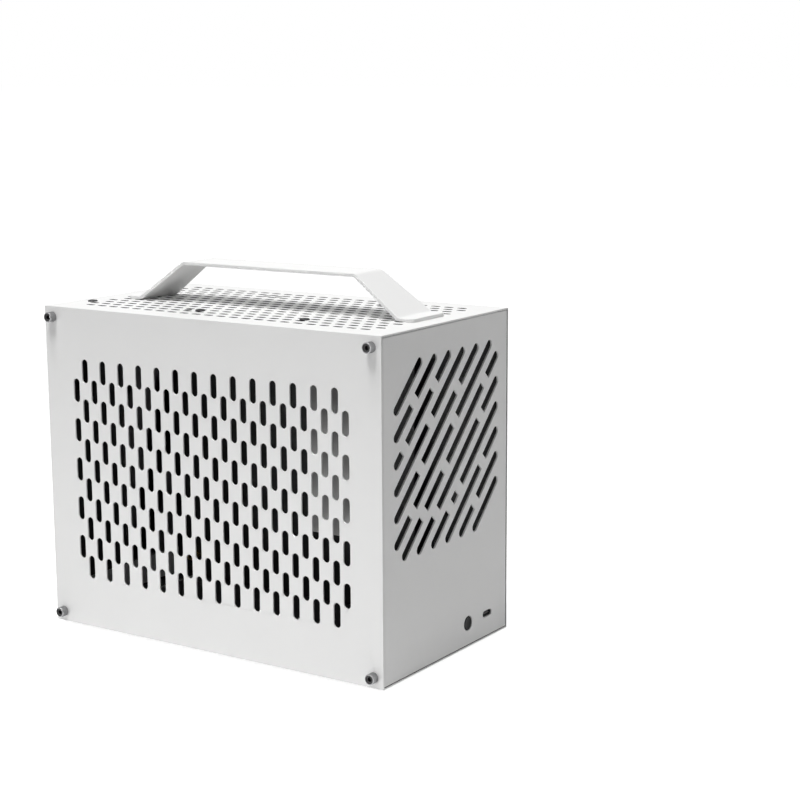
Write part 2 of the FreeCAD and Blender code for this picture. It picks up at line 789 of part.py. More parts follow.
def make_standoffs():
    """Brass stand-offs that carry the board, pressed into the tray."""
    posts = []
    for x, z in standoff_places():
        post = new_body(f"standoff_{len(posts) + 1}")
        spacer = new_sketch(post, "XY_Plane")
        hexagon(spacer, "dims.standoff_flats")
        circle(spacer, "0", "0", "dims.standoff_bore")
        pad(spacer, "dims.standoff_length")
        shank = new_sketch(post, "XY_Plane")
        circle(shank, "0", "0", "dims.standoff_shank")
        circle(shank, "0", "0", "dims.standoff_bore")
        pad(shank, "dims.sheet", reverse=True)
        posts.append(place(post, x=x, y=TRAY_FACE, z=z, axis=(1, 0, 0), turn=90))
    return group("standoffs", posts)


def make_psu_bracket():
    """An angle welded to the inside of the front panel, with the power supply's four holes."""
    body = new_body("psu_bracket")
    place(body, x=FRONT_INSIDE, y=f"-{FRAME_INSIDE}", z="dims.foot_height + dims.bracket_low")
    angle = new_sketch(body, "XY_Plane")
    outline(angle, [
        ("0", "dims.bracket_gap"),
        ("0", "dims.bracket_setback"),
        ("-dims.bracket_depth", "dims.bracket_setback"),
        ("-dims.bracket_depth", "dims.bracket_setback - dims.sheet"),
        ("-dims.sheet", "dims.bracket_setback - dims.sheet"),
        ("-dims.sheet", "dims.bracket_gap"),
    ])
    height = "(dims.case_height - 2 * dims.sheet - dims.bracket_top_gap - dims.bracket_low)"
    pad(angle, height)
    holes = new_sketch(body, "XZ_Plane")
    for x in SIDES:
        for z in SIDES:
            circle(
                holes, f"-dims.bracket_depth / 2 + {x} * dims.bracket_hole_x / 2",
                f"{height} / 2 + {z} * dims.bracket_hole_z / 2", "dims.bracket_hole")
    cut_through(holes)
    return body


def make_power_button():
    """A turned button: cap in the panel's hole, collar behind the sheet, stem into the switch."""
    cap = "dims.button_hole / 2 - dims.button_gap"
    collar = "dims.button_hole / 2 + dims.button_collar"
    stem = "dims.button_stem / 2"
    back = "-(dims.sheet + dims.small_gap)"
    collar_back = "-(dims.sheet + dims.small_gap + dims.button_collar_thickness)"
    stem_end = "-(dims.sheet + dims.post_length - dims.switch_depth + dims.stem_engagement)"
    button = turned("power_button", [
        ("0", stem_end),
        (stem, stem_end),
        (stem, collar_back),
        (collar, collar_back),
        (collar, back),
        (cap, back),
        (cap, "0"),
        ("0", "0"),
    ])
    return place(
        button, x=FRONT, y="dims.button_y", z="dims.foot_height + dims.button_z", axis=(0, 1, 0), turn=90)


def make_power_switch():
    """The push switch on the front board, with a well for the button's stem."""
    housing = doc.addObject("Part::Box", "switch_housing")
    housing.setExpression("Length", "dims.switch_depth")
    housing.setExpression("Width", "dims.switch_side")
    housing.setExpression("Height", "dims.switch_side")
    place(
        housing, x=FRONT_BOARD_X, y="dims.button_y - dims.switch_side / 2",
        z="dims.foot_height + dims.button_z - dims.switch_side / 2")
    well = doc.addObject("Part::Cylinder", "switch_well")
    well.setExpression("Radius", "dims.button_stem / 2 + dims.button_gap")
    well.setExpression("Height", "dims.stem_engagement + dims.button_travel + dims.button_gap")
    place(
        well, x=f"{FRONT_BOARD_X} + dims.switch_depth", y="dims.button_y",
        z="dims.foot_height + dims.button_z", axis=(0, 1, 0), turn=-90)
    switch = doc.addObject("Part::Cut", "power_switch")
    switch.Label = "power_switch"
    switch.Base = housing
    switch.Tool = well
    return switch


def make_front_port():
    """The port: a flattened metal shell round a thin tongue, standing on the front board."""
    body = new_body("front_port")
    place(body, x=FRONT_BOARD_X, y="dims.port_y", z="dims.foot_height + dims.port_z")
    corner = "dims.port_thickness / 3"
    length = "(dims.post_length + dims.sheet - dims.port_setback)"
    shell = new_sketch(body, "YZ_Plane")
    chamfered(shell, "0", "0", "dims.port_width", "dims.port_thickness", corner)
    pad(shell, length)
    mouth = new_sketch(body, "YZ_Plane", length)
    chamfered(
        mouth, "0", "0", "dims.port_width - 2 * dims.port_wall", "dims.port_thickness - 2 * dims.port_wall",
        f"({corner} - dims.port_wall / 2)")
    rectangle(
        mouth, "-dims.tongue_width / 2", "dims.tongue_width / 2",
        "-dims.tongue_thickness / 2", "dims.tongue_thickness / 2")
    cut_depth(mouth, "dims.port_well")
    return body


def post_places():
    """The two posts of the front board, from its middle."""
    return [f"{way} * {POST_Y}" for way in SIDES]


def make_front_io_board():
    """The small board behind the front panel that carries the switch and the port."""
    body = new_body("front_io_board")
    place(body, x=FRONT_BOARD_X, y=FRONT_BOARD_Y, z="dims.foot_height + dims.port_z")
    blank = new_sketch(body, "YZ_Plane")
    rectangle(
        blank, "-dims.front_board_width / 2", "dims.front_board_width / 2",
        "-dims.front_board_height / 2", "dims.front_board_height / 2")
    for y in post_places():
        circle(blank, y, "0", SMALL_HOLE)
    pad(blank, "dims.board_sheet", reverse=True)
    return body


def make_io_posts():
    """Round posts on the inside of the front panel that hold the front board off it."""
    bore = f"{SMALL_HOLE} / 2"
    outside = "dims.post_diameter / 2"
    posts = []
    for y in post_places():
        post = turned(f"io_post_{len(posts) + 1}", [
            (bore, "0"), (bore, "-dims.post_length"), (outside, "-dims.post_length"), (outside, "0")])
        posts.append(place(
            post, x=FRONT_INSIDE, y=f"{FRONT_BOARD_Y} + {y}", z="dims.foot_height + dims.port_z",
            axis=(0, 1, 0), turn=90))
    return group("io_posts", posts)


def small_screw(name, length):
    """A pan-head screw: the head above its seat, the thread below it."""
    thread = "dims.small_thread / 2"
    head = "dims.small_head / 2"
    return turned(name, [
        ("0", f"-({length})"),
        (thread, f"-({length})"),
        (thread, "0"),
        (head, "0"),
        (head, "dims.small_head_length / 2"),
        (f"{head} - dims.small_head_length / 2", "dims.small_head_length"),
        ("0", "dims.small_head_length"),
    ])


def make_io_board_screws():
    """The two screws that hold the front board on its posts."""
    screws = []
    for y in post_places():
        screw = small_screw(f"io_board_screw_{len(screws) + 1}", "dims.board_sheet + dims.small_bite")
        screws.append(place(
            screw, x=f"{FRONT_BOARD_X} - dims.board_sheet", y=f"{FRONT_BOARD_Y} + {y}",
            z="dims.foot_height + dims.port_z", axis=(0, 1, 0), turn=-90))
    return group("io_board_screws", screws)


def make_slot_cover():
    """The blanking plate behind the expansion slot, with a tab for its screw."""
    body = new_body("slot_cover")
    place(body, x=f"-{FRONT_INSIDE}", z=f"dims.foot_height + {EXPANSION_Z}")
    blank = new_sketch(body, "YZ_Plane")
    half = "(dims.expansion_z / 2 + dims.cover_lap)"
    rectangle(
        blank, f"{EXPANSION_LOW_Y} - dims.cover_tab", f"{BOARD_FACE} + dims.cover_lap", f"-{half}", half)
    circle(blank, COVER_SCREW_Y, "0", SMALL_HOLE)
    pad(blank, "dims.cover_sheet")
    return body


def make_slot_cover_screw():
    """The screw of the blanking plate, its head inside and its end flush with the rear face."""
    screw = small_screw("slot_cover_screw", "dims.cover_sheet + dims.sheet")
    return place(
        screw, x=f"-{FRONT_INSIDE} + dims.cover_sheet", y=COVER_SCREW_Y,
        z=f"dims.foot_height + {EXPANSION_Z}", axis=(0, 1, 0), turn=90)


def make_io_shield():
    """The blank shield of the board's aperture: a rim behind the rear panel and a face flush with it."""
    body = new_body("io_shield")
    place(body, x=f"-{FRONT_INSIDE}", z=FLOOR)
    rim = new_sketch(body, "YZ_Plane")
    aperture_outline(rim, "dims.shield_lap")
    pad(rim, "dims.cover_sheet")
    face = new_sketch(body, "YZ_Plane")
    aperture_outline(face, "-dims.shield_gap")
    pad(face, "dims.sheet", reverse=True)
    return body


def make_power_inlet():
    """The mains inlet: a flange behind the rear panel and a face flush with it round a deep well."""
    body = new_body("power_inlet")
    place(body, x=f"-{FRONT}", y="dims.inlet_y", z="dims.foot_height + dims.inlet_z")
    flange = new_sketch(body, "YZ_Plane", "dims.sheet")
    rectangle(
        flange, "-dims.inlet_flange_y / 2", "dims.inlet_flange_y / 2",
        "-dims.inlet_flange_z / 2", "dims.inlet_flange_z / 2")
    for way in SIDES:
        circle(flange, "0", f"{way} * dims.inlet_hole_pitch / 2", SMALL_HOLE)
    pad(flange, "dims.inlet_flange")
    housing = new_sketch(body, "YZ_Plane")
    inlet_outline(housing, "0", "0", "dims.inlet_gap")
    pad(housing, "dims.inlet_depth")
    well = new_sketch(body, "YZ_Plane")
    inlet_outline(well, "0", "0", "(dims.inlet_gap + dims.inlet_wall)")
    cut_depth(well, "dims.inlet_well", reverse=True)
    return body


def make_inlet_pins():
    """The three flat pins that stand on the floor of the inlet's well."""
    pins = []
    for step, shift in ((-1, -1), (0, 1), (1, -1)):
        pin_body = new_body(f"inlet_pin_{len(pins) + 1}")
        section = new_sketch(pin_body, "YZ_Plane")
        rectangle(section, "-dims.pin_y / 2", "dims.pin_y / 2", "-dims.pin_z / 2", "dims.pin_z / 2")
        pad(section, "dims.pin_length", reverse=True)
        pins.append(place(
            pin_body, x=f"-{FRONT} + dims.inlet_well", y=f"dims.inlet_y + {shift} * dims.pin_shift / 2",
            z=f"dims.foot_height + dims.inlet_z + {step} * dims.pin_pitch"))
    return group("inlet_pins", pins)


def make_inlet_screws():
    """The two screws of the inlet, their heads inside and their ends flush with the rear face."""
    screws = []
    for way in SIDES:
        screw = small_screw(f"inlet_screw_{len(screws) + 1}", "dims.inlet_flange + dims.sheet")
        screws.append(place(
            screw, x=f"-{FRONT_INSIDE} + dims.inlet_flange", y="dims.inlet_y",
            z=f"dims.foot_height + dims.inlet_z + {way} * dims.inlet_hole_pitch / 2",
            axis=(0, 1, 0), turn=90))
    return group("inlet_screws", screws)


pieces = [
    make_front_panel(),
    make_rear_panel(),
    make_top_cover(),
    make_bottom_plate(),
    make_feet(),
    make_side_panel("side_panel_left", -1, slotted=True),
    make_side_panel("side_panel_right", 1, slotted=False),
    make_panel_screws("panel_screws_left", -1),
    make_panel_screws("panel_screws_right", 1),
    make_panel_nuts(),
    make_handle(),
    make_handle_nuts(),
    make_motherboard_tray(),
    make_standoffs(),
    make_psu_bracket(),
    make_power_button(),
    make_power_switch(),
    make_front_port(),
    make_front_io_board(),
    make_io_posts(),
    make_io_board_screws(),
    make_slot_cover(),
    make_slot_cover_screw(),
    make_io_shield(),
    make_power_inlet(),
    make_inlet_pins(),
    make_inlet_screws(),
]
doc.recompute()

for item in doc.Objects:
    if "Invalid" in item.State or "Error" in item.State:
        raise RuntimeError(f"{item.Label} did not build")
for piece in pieces:
    if piece.Shape.isNull() or not piece.Shape.isValid():
        raise RuntimeError(f"{piece.Label} has no valid shape")

os.makedirs("parts", exist_ok=True)
for piece in pieces:
    piece.Shape.exportStep(f"parts/{piece.Label}.step")
    print(piece.Label, len(piece.Shape.Solids), "solids", round(piece.Shape.Volume), "mm3")
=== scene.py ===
# %% [markdown]
# A small white computer case, cut and folded from thin steel sheet. Nearly all of its look comes from the
# sheets: rows of punched slots, crisp folds and a satin powder coat. The solids of the frame already stand
# at their real size, so each piece here is drawn in the same place and only gains what makes it look real.

# %% Load the frame
import json
import math

import bpy
from mathutils import Matrix, Vector


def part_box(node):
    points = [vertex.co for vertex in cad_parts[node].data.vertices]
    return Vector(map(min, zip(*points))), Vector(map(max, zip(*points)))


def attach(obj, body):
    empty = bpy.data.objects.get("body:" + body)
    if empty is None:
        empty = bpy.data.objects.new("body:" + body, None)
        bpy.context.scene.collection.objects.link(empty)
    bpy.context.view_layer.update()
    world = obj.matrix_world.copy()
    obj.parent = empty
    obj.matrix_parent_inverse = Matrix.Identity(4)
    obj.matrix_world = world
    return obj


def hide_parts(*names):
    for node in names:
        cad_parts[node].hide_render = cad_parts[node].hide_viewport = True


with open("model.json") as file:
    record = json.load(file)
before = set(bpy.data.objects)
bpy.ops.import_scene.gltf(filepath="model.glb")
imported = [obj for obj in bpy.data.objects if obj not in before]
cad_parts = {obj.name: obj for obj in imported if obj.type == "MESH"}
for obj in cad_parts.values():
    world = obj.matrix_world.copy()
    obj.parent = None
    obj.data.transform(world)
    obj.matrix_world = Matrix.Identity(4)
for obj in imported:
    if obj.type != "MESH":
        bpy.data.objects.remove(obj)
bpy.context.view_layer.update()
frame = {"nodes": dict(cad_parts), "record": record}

MM = 0.001

# %% [markdown]
# Blender's operators act on whatever is selected, so a script needs the same habits as a careful hand:
# select one object, open it, select its points, edges or faces by where they lie, and only then press the
# tool. These helpers do that, and all their lengths are millimetres.

# %% Selecting by place
TOUCH = 0.01 * MM
NEAR = 0.1


def only(piece):
    """Makes one object the active and only selected one."""
    bpy.ops.object.select_all(action="DESELECT")
    piece.select_set(True)
    bpy.context.view_layer.objects.active = piece
    return piece


def pick(piece, kind, wanted):
    """Opens edit mode with the vertices, edges or faces selected whose middle passes a test."""
    only(piece)
    bpy.ops.object.mode_set(mode="EDIT")
    bpy.ops.mesh.select_mode(type=kind)
    bpy.ops.mesh.select_all(action="DESELECT")
    bpy.ops.object.mode_set(mode="OBJECT")
    mesh = piece.data
    if kind == "VERT":
        for vertex in mesh.vertices:
            vertex.select = wanted(vertex.co / MM)
    elif kind == "EDGE":
        for edge in mesh.edges:
            first, second = (mesh.vertices[i].co for i in edge.vertices)
            edge.select = wanted((first + second) / 2 / MM)
    else:
        for face in mesh.polygons:
            face.select = wanted(face.center / MM)
    bpy.ops.object.mode_set(mode="EDIT")


def close():
    """Leaves edit mode."""
    bpy.ops.object.mode_set(mode="OBJECT")


bpy.ops.object.select_all(action="DESELECT")
print("nodes in the frame:", len(frame["nodes"]))

# %% [markdown]
# A finished piece has its place in its mesh and its object at the origin, as the solids of the frame do. A
# modifier is applied as soon as it is set, so that the next step can select in the mesh that it leaves.
# What repeats is modelled once and copied.

# %% Placing, copying and joining


def modify(piece, kind, **settings):
    """Adds a modifier with its settings and applies it."""
    only(piece)
    modifier = piece.modifiers.new(kind.lower(), kind)
    for setting, value in settings.items():
        setattr(modifier, setting, value)
    bpy.ops.object.modifier_apply(modifier=modifier.name)


def settle(piece, place=(0, 0, 0), turn=(0, 0, 0)):
    """Turns and moves a piece, then writes that into its mesh, so that its object sits at the origin."""
    only(piece)
    piece.rotation_euler = [math.radians(angle) for angle in turn]
    piece.location = Vector(place) * MM
    bpy.ops.object.transform_apply(location=True, rotation=True, scale=True)
    return piece


def copy_of(piece):
    """A copy with a mesh of its own."""
    only(piece)
    bpy.ops.object.duplicate(linked=False)
    return bpy.context.object


def join(name, parts):
    """Joins several meshes into one named piece."""
    bpy.ops.object.select_all(action="DESELECT")
    for part in parts:
        part.select_set(True)
    bpy.context.view_layer.objects.active = parts[0]
    bpy.ops.object.join()
    piece = bpy.context.object
    piece.name = piece.data.name = name
    return piece


print("a millimetre is", MM, "of Blender's units")

# %% [markdown]
# The finishes are made of shader nodes. Wiring arithmetic by hand is slow to read, so a small class wraps a
# socket and lets Python's own signs add the Math nodes. Every pattern reads Object coordinates in metres,
# so a scale of 1000 means grains of about a millimetre.

# %% A socket that counts like a number


class Signal:
    """A socket of a shader that can be added, multiplied and compared like a number."""

    def __init__(self, wiring, socket):
        self.wiring = wiring
        self.socket = socket

    def maths(self, operation, first, second):
        """Adds a Math node."""
        return self.wiring.node("ShaderNodeMath", 0, {"operation": operation}, {0: first, 1: second})

    def __add__(self, other):
        return self.maths("ADD", self, other)

    def __sub__(self, other):
        return self.maths("SUBTRACT", self, other)

    def __rsub__(self, other):
        return self.maths("SUBTRACT", other, self)

    def __mul__(self, other):
        return self.maths("MULTIPLY", self, other)

    def __gt__(self, other):
        return self.maths("GREATER_THAN", self, other)

    def __or__(self, other):
        return self.maths("MAXIMUM", self, other)

    __radd__ = __add__
    __rmul__ = __mul__


print("materials that came with the frame:", len(bpy.data.materials))

# %% [markdown]
# Any other node needs the same three things: its kind, its settings, and what goes into its sockets. One
# method takes all three, so a finish reads as a list of what it is made of. The room behind the case has
# nodes too, so this class knows nothing of materials yet.

# %% Nodes and links
SEEING_RAYS = ("Camera", "Glossy", "Transmission")


class Wiring:
    """The nodes of one material, or of the world."""

    def __init__(self, tree):
        self.tree = tree

    def node(self, kind, output, settings=None, sockets=None):
        """Adds a node, sets it, fills or links its sockets and gives back one of its outputs."""
        node = self.tree.nodes.new(kind)
        for setting, value in (settings or {}).items():
            setattr(node, setting, value)
        self.feed(node, sockets or {})
        return Signal(self, node.outputs[output])

    def feed(self, node, sockets):
        """Fills or links sockets by their names or numbers."""
        for name, value in sockets.items():
            if isinstance(value, Signal):
                self.tree.links.new(value.socket, node.inputs[name])
            else:
                node.inputs[name].default_value = value

    def seen_directly(self):
        """One for a ray from the camera, or by way of metal or glass, and zero for light that spreads."""
        path = "ShaderNodeLightPath"
        rays = [self.node(path, f"Is {ray} Ray") for ray in SEEING_RAYS]
        return rays[0] | rays[1] | rays[2]


print("rays that see a surface directly:", SEEING_RAYS)

# %% [markdown]
# A finish is one material with its principled shader. No real surface is one flat colour, so these are the
# tools that every finish needs: noise on Object coordinates, a mix of two colours, and a bump whose depth
# is given in millimetres.

# %% A finish under construction


class Finish(Wiring):
    """One material under construction: its nodes, and the principled shader that they feed."""

    def __init__(self, name):
        self.material = bpy.data.materials.new(name)
        self.material.use_nodes = True
        super().__init__(self.material.node_tree)
        self.shader = self.tree.nodes["Principled BSDF"]

    def place(self):
        """Object coordinates, in metres."""
        return self.node("ShaderNodeTexCoord", "Object")

    def stretched(self, scale):
        """Object coordinates with a different scale along each axis."""
        return self.node("ShaderNodeMapping", "Vector", None, {"Vector": self.place(), "Scale": scale})

    def noise(self, scale, detail=2.0, vector=None):
        """Soft noise from 0 to 1."""
        sockets = {"Vector": vector or self.place(), "Scale": scale, "Detail": detail}
        return self.node("ShaderNodeTexNoise", "Fac", None, sockets)

    def mix(self, factor, first, second):
        """One colour shading into another."""
        sockets = {"Factor": factor, 6: (*first, 1), 7: (*second, 1)}
        return self.node("ShaderNodeMix", 2, {"data_type": "RGBA"}, sockets)

    def bump(self, height, strength, distance):
        """A normal from a height, with the depth of the relief in millimetres."""
        sockets = {"Height": height, "Strength": strength, "Distance": distance * MM}
        return self.node("ShaderNodeBump", "Normal", None, sockets)

    def done(self, sockets):
        """Feeds the shader and gives back the material."""
        self.feed(self.shader, sockets)
        return self.material


print("patterns are drawn in Object coordinates, in metres")

# %% [markdown]
# Powder coat is sprayed as dry powder and melted in an oven. It never flows quite flat: the surface keeps a
# faint orange peel of about a millimetre, and its gloss drifts a little from place to place. One function
# makes the white coat of the sheets, the black coat of the inner tray and a grey coat for the bracket that
# shows behind the slots next to the front, which paints the shade that falls on that white bracket.

# %% The powder coats
PEEL_SCALE = 900
PEEL_STRENGTH = 0.22
PEEL_DEPTH = 0.03
PEEL_GLOSS = 0.04
DRIFT_SCALE = 26
DRIFT_GLOSS = 0.10


def powder_coat(name, dull, clean, roughness):
    """A coat between two colours, with orange peel and a gloss that drifts."""
    coat = Finish(name)
    peel = coat.noise(PEEL_SCALE, 2.5)
    drift = coat.noise(DRIFT_SCALE, 3.0)
    return coat.done({
        "Base Color": coat.mix(drift, dull, clean),
        "Roughness": drift * DRIFT_GLOSS + (roughness - DRIFT_GLOSS / 2) + peel * PEEL_GLOSS,
        "Normal": coat.bump(peel, PEEL_STRENGTH, PEEL_DEPTH),
    })


FINISHES = {
    "white_coat": powder_coat("white_coat", (0.79, 0.79, 0.785), (0.83, 0.83, 0.825), 0.42),
    "black_coat": powder_coat("black_coat", (0.012, 0.012, 0.013), (0.020, 0.020, 0.021), 0.5),
}
# a grey coat for the white bracket, which paints the shade that falls on it inside the case
bracket_painted_shade = powder_coat("bracket_painted_shade", (0.40, 0.40, 0.40), (0.46, 0.46, 0.455), 0.6)
print("coats:", list(FINISHES))

# %% [markdown]
# The bare metals differ in how they were worked. Turned and drawn parts carry fine lines, which stretched
# noise gives, and plated parts have a cloudy shine.

# %% The metals
LINE_SCALE = 2200
LINE_STRENGTH = 0.15
LINE_DEPTH = 0.02
LINE_GLOSS = 0.06
CLOUD_SCALE = 160
CLOUD_GLOSS = 0.08
ALONG_X = (0.06, 1, 1)
ALONG_Z = (1, 1, 0.06)


def worked_metal(name, dark, light, roughness, along, metallic):
    """A metal between two colours, with fine lines along an axis and a cloudy shine."""
    metal = Finish(name)
    lines = metal.noise(LINE_SCALE, 2.0, metal.stretched(along))
    cloud = metal.noise(CLOUD_SCALE, 3.0)
    return metal.done({
        "Base Color": metal.mix(cloud, dark, light),
        "Metallic": metallic,
        "Roughness": roughness - LINE_GLOSS + cloud * CLOUD_GLOSS + lines * LINE_GLOSS,
        "Normal": metal.bump(lines, LINE_STRENGTH, LINE_DEPTH),
    })


METALS = {
    # the darker and the lighter colour, roughness, direction of the lines, and how metallic it is
    "dark_steel": ((0.28, 0.28, 0.285), (0.38, 0.38, 0.385), 0.4, ALONG_Z, 0.85),
    "plated_steel": ((0.36, 0.36, 0.37), (0.44, 0.44, 0.44), 0.4, ALONG_Z, 1.0),
    "port_steel": ((0.04, 0.04, 0.042), (0.07, 0.07, 0.073), 0.34, ALONG_X, 1.0),
    "brass": ((0.62, 0.44, 0.17), (0.78, 0.6, 0.28), 0.27, ALONG_Z, 1.0),
}
for name, recipe in METALS.items():
    FINISHES[name] = worked_metal(name, *recipe)
print("metals:", list(METALS))

# %% [markdown]
# The moulded parts are matt and slightly grained, rubber more so. The little circuit board is lacquered,
# and its copper tracks show under the lacquer as lighter lines, which two crossed wave patterns give.

# %% Plastics, rubber and board
GRAIN_STRENGTH = 0.35
GRAIN_GLOSS = 0.16
LACQUER_ROUGHNESS = 0.32
TRACK_LIMIT = 0.55
TRACK_GLOSS = 0.08
TRACK_STRENGTH = 0.2
TRACK_DEPTH = 0.03


def moulded(name, dark, light, roughness, grain, depth, shine):
    """A moulded part between two colours, with a fine grain."""
    plastic = Finish(name)
    texture = plastic.noise(grain, 3.0)
    return plastic.done({
        "Base Color": plastic.mix(texture, dark, light),
        "Roughness": texture * GRAIN_GLOSS + (roughness - GRAIN_GLOSS / 2),
        "Specular IOR Level": shine,
        "Normal": plastic.bump(texture, GRAIN_STRENGTH, depth),
    })


def lacquered_board():
    """Green lacquer with copper tracks under it."""
    board = Finish("circuit_board")

    def bands(direction, scale, distortion):
        sockets = {"Vector": board.place(), "Scale": scale, "Distortion": distortion, "Detail": 1.0}
        return board.node("ShaderNodeTexWave", "Fac", {"bands_direction": direction}, sockets)

    tracks = (bands("Z", 190.0, 3.0) * bands("Y", 120.0, 4.0)) > TRACK_LIMIT
    return board.done({
        "Base Color": board.mix(tracks, (0.008, 0.035, 0.018), (0.03, 0.11, 0.06)),
        "Roughness": LACQUER_ROUGHNESS - tracks * TRACK_GLOSS,
        "Normal": board.bump(tracks, TRACK_STRENGTH, TRACK_DEPTH),
    })


PLASTICS = {
    # the darker and the lighter colour, roughness, scale and depth of the grain, and how much it shines
    "black_plastic": ((0.014, 0.014, 0.015), (0.028, 0.028, 0.029), 0.46, 1600, 0.02, 0.5),
    "button_cap": ((0.006, 0.006, 0.006), (0.012, 0.012, 0.012), 0.4, 2400, 0.01, 0.06),
    "rubber": ((0.018, 0.018, 0.018), (0.034, 0.034, 0.034), 0.72, 1100, 0.05, 0.5),
}
for name, recipe in PLASTICS.items():
    FINISHES[name] = moulded(name, *recipe)
FINISHES["circuit_board"] = lacquered_board()
print("finishes:", list(FINISHES))

# %% [markdown]
# Every solid of the frame first gets the finish of its material slot. Those whose shape is already right,
# such as the nuts, the stand-offs and the board tray, keep it. The pieces that follow replace the rest.

# %% Finishes for the solids of the frame
for part in frame["record"]["subparts"]:
    solid = frame["nodes"][part["node"]]
    solid.data.materials.clear()
    solid.data.materials.append(FINISHES[part["material_slot"]])
# the bracket behind the slots gets the grey coat as painted shade
frame["nodes"]["psu_bracket"].data.materials[0] = bracket_painted_shade

# %% [markdown]
# Every piece that is made here ends the same way. Its flat faces stay flat and its bends turn smooth, it
# gets the finish of its slot, and it rides on a body, in place of the solids that it stands for.

# %% Handing a piece over
SMOOTH_ANGLE = math.radians(50)


def hand_over(piece, body, slot, *nodes):
    """Gives a piece its finish and puts it on its body, in place of the solids that it stands for."""
    only(piece)
    bpy.ops.object.shade_smooth_by_angle(angle=SMOOTH_ANGLE)
    modify(piece, "WEIGHTED_NORMAL", keep_sharp=True, weight=100)
    if not piece.data.materials:
        piece.data.materials.append(FINISHES[slot])
    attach(piece, body)
    if nodes:
        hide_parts(*nodes)
    size = [round(c / MM, 1) for c in piece.dimensions]
    print(piece.name, "rides on", body, "and measures", size, "mm,", len(piece.data.polygons), "faces")
    return piece


# %% [markdown]
# A sheet-metal shop draws a flat pattern first: the outline of the sheet and every hole in it. The same
# works here. Each outline is a plane without its face, so that only a loop of edges is left. A slot's round
# ends are its corners bevelled by half its width, and a field of slots is one slot with two Array
# modifiers.

# %% Loops for a flat pattern
CORNER_STEPS = 4
HOLE_STEPS = 28


def plane(width, height, place=(0, 0, 0)):
    """A rectangle of a size, lying in the drawing plane."""
    bpy.ops.mesh.primitive_plane_add(size=MM)
    sheet = bpy.context.object
    sheet.scale = (width, height, 1)
    return settle(sheet, place)


def plate_loop(width, height, place=(0, 0)):
    """A rectangle of edges in the drawing plane."""
    loop = plane(width, height, (*place, 0))
    pick(loop, "FACE", lambda spot: True)
    bpy.ops.mesh.delete(type="ONLY_FACE")
    close()
    return loop


def slot_loop(width, length, round_low=True, round_high=True):
    """A slot standing upright in the drawing plane, with each end round or square."""
    loop = plane(width, length)
    pick(loop, "VERT", lambda spot: round_high if spot.y > 0 else round_low)
    bpy.ops.mesh.bevel(offset=width / 2 * MM, segments=CORNER_STEPS, affect="VERTICES")
    bpy.ops.mesh.select_all(action="SELECT")
    bpy.ops.mesh.remove_doubles(threshold=TOUCH)
    bpy.ops.mesh.delete(type="ONLY_FACE")
    close()
    return loop


def hole_loop(diameter, place):
    """A round hole in the drawing plane."""
    bpy.ops.mesh.primitive_circle_add(vertices=HOLE_STEPS, radius=diameter / 2 * MM)
    return settle(bpy.context.object, (*place, 0))


def repeat(piece, count, step):
    """Repeats a piece in a row, each time a step further."""
    modify(
        piece, "ARRAY", count=count, use_relative_offset=False, use_constant_offset=True,
        constant_offset_displace=Vector(step) * MM)


def lattice(loop, columns, column_pitch, rows, row_pitch):
    """Repeats a loop over a field that is centred on the drawing."""
    settle(loop, (-(columns - 1) / 2 * column_pitch, -(rows - 1) / 2 * row_pitch, 0))
    repeat(loop, columns, (column_pitch, 0, 0))
    repeat(loop, rows, (0, row_pitch, 0))
    return loop


print("a round end has", 2 * CORNER_STEPS, "edges")

# %% [markdown]
# All loops of a sheet are joined into one mesh, and a single Fill makes the sheet between them. Solidify
# gives it its gauge, and a narrow bevel rounds all edges as the coat does. A Boolean for each hole would
# also work, but hundreds of them are slow and leave worse faces. The sheets are white outside and get a
# black coat inside as painted shade, which keeps the inside of the case dark behind its slots.

# %% From loops to a sheet
EDGE_ROUND = 0.2
SHARP_ANGLE = math.radians(60)


def fill_pattern(name, loops):
    """Joins the loops and fills the sheet between them, with its outer face up."""
    sheet = join(name, loops)
    pick(sheet, "EDGE", lambda spot: True)
    bpy.ops.mesh.fill(use_beauty=True)
    close()
    if sheet.data.polygons[0].normal.z < 0:
        pick(sheet, "FACE", lambda spot: True)
        bpy.ops.mesh.flip_normals()
        close()
    return sheet


def thicken(sheet, gauge):
    """Gives a drawn sheet its gauge and a black back as painted shade, and rounds its edges."""
    for coat in ("white_coat", "black_coat"):
        sheet.data.materials.append(FINISHES[coat])
    # the black coat on the inner faces is painted shade for the inside of the case
    modify(sheet, "SOLIDIFY", thickness=gauge * MM, offset=-1, use_even_offset=True, material_offset=1)
    modify(
        sheet, "BEVEL", width=EDGE_ROUND * MM, segments=2, limit_method="ANGLE",
        angle_limit=SHARP_ANGLE)


print("edges are rounded by", EDGE_ROUND, "mm")

# %% [markdown]
# The left side panel has 159 upright slots in two lattices, one in the gaps of the other. One slot of each
# is drawn and repeated. The right panel closes the side behind the board and has only its four screw holes,
# so the same function makes it, without a field of slots.

# %% The side panels
SIDE_COLUMN_PITCH = 13.24
SIDE_ROW_PITCH = 22.78
SIDE_SLOT = (4.3, 13.6)
SIDE_FIELDS = ((15, 5), (14, 6))
SCREW_INSET = 6.0
SCREW_HOLE = 3.3


def spans(node):
    """The size and middle of a solid of the frame, in millimetres."""
    low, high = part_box(node)
    return (high - low) / MM, (low + high) / 2 / MM


def corners(across, up):
    """The four corners of a rectangle that is centred on the drawing."""
    return [(side * across, end * up) for side in (-1, 1) for end in (-1, 1)]


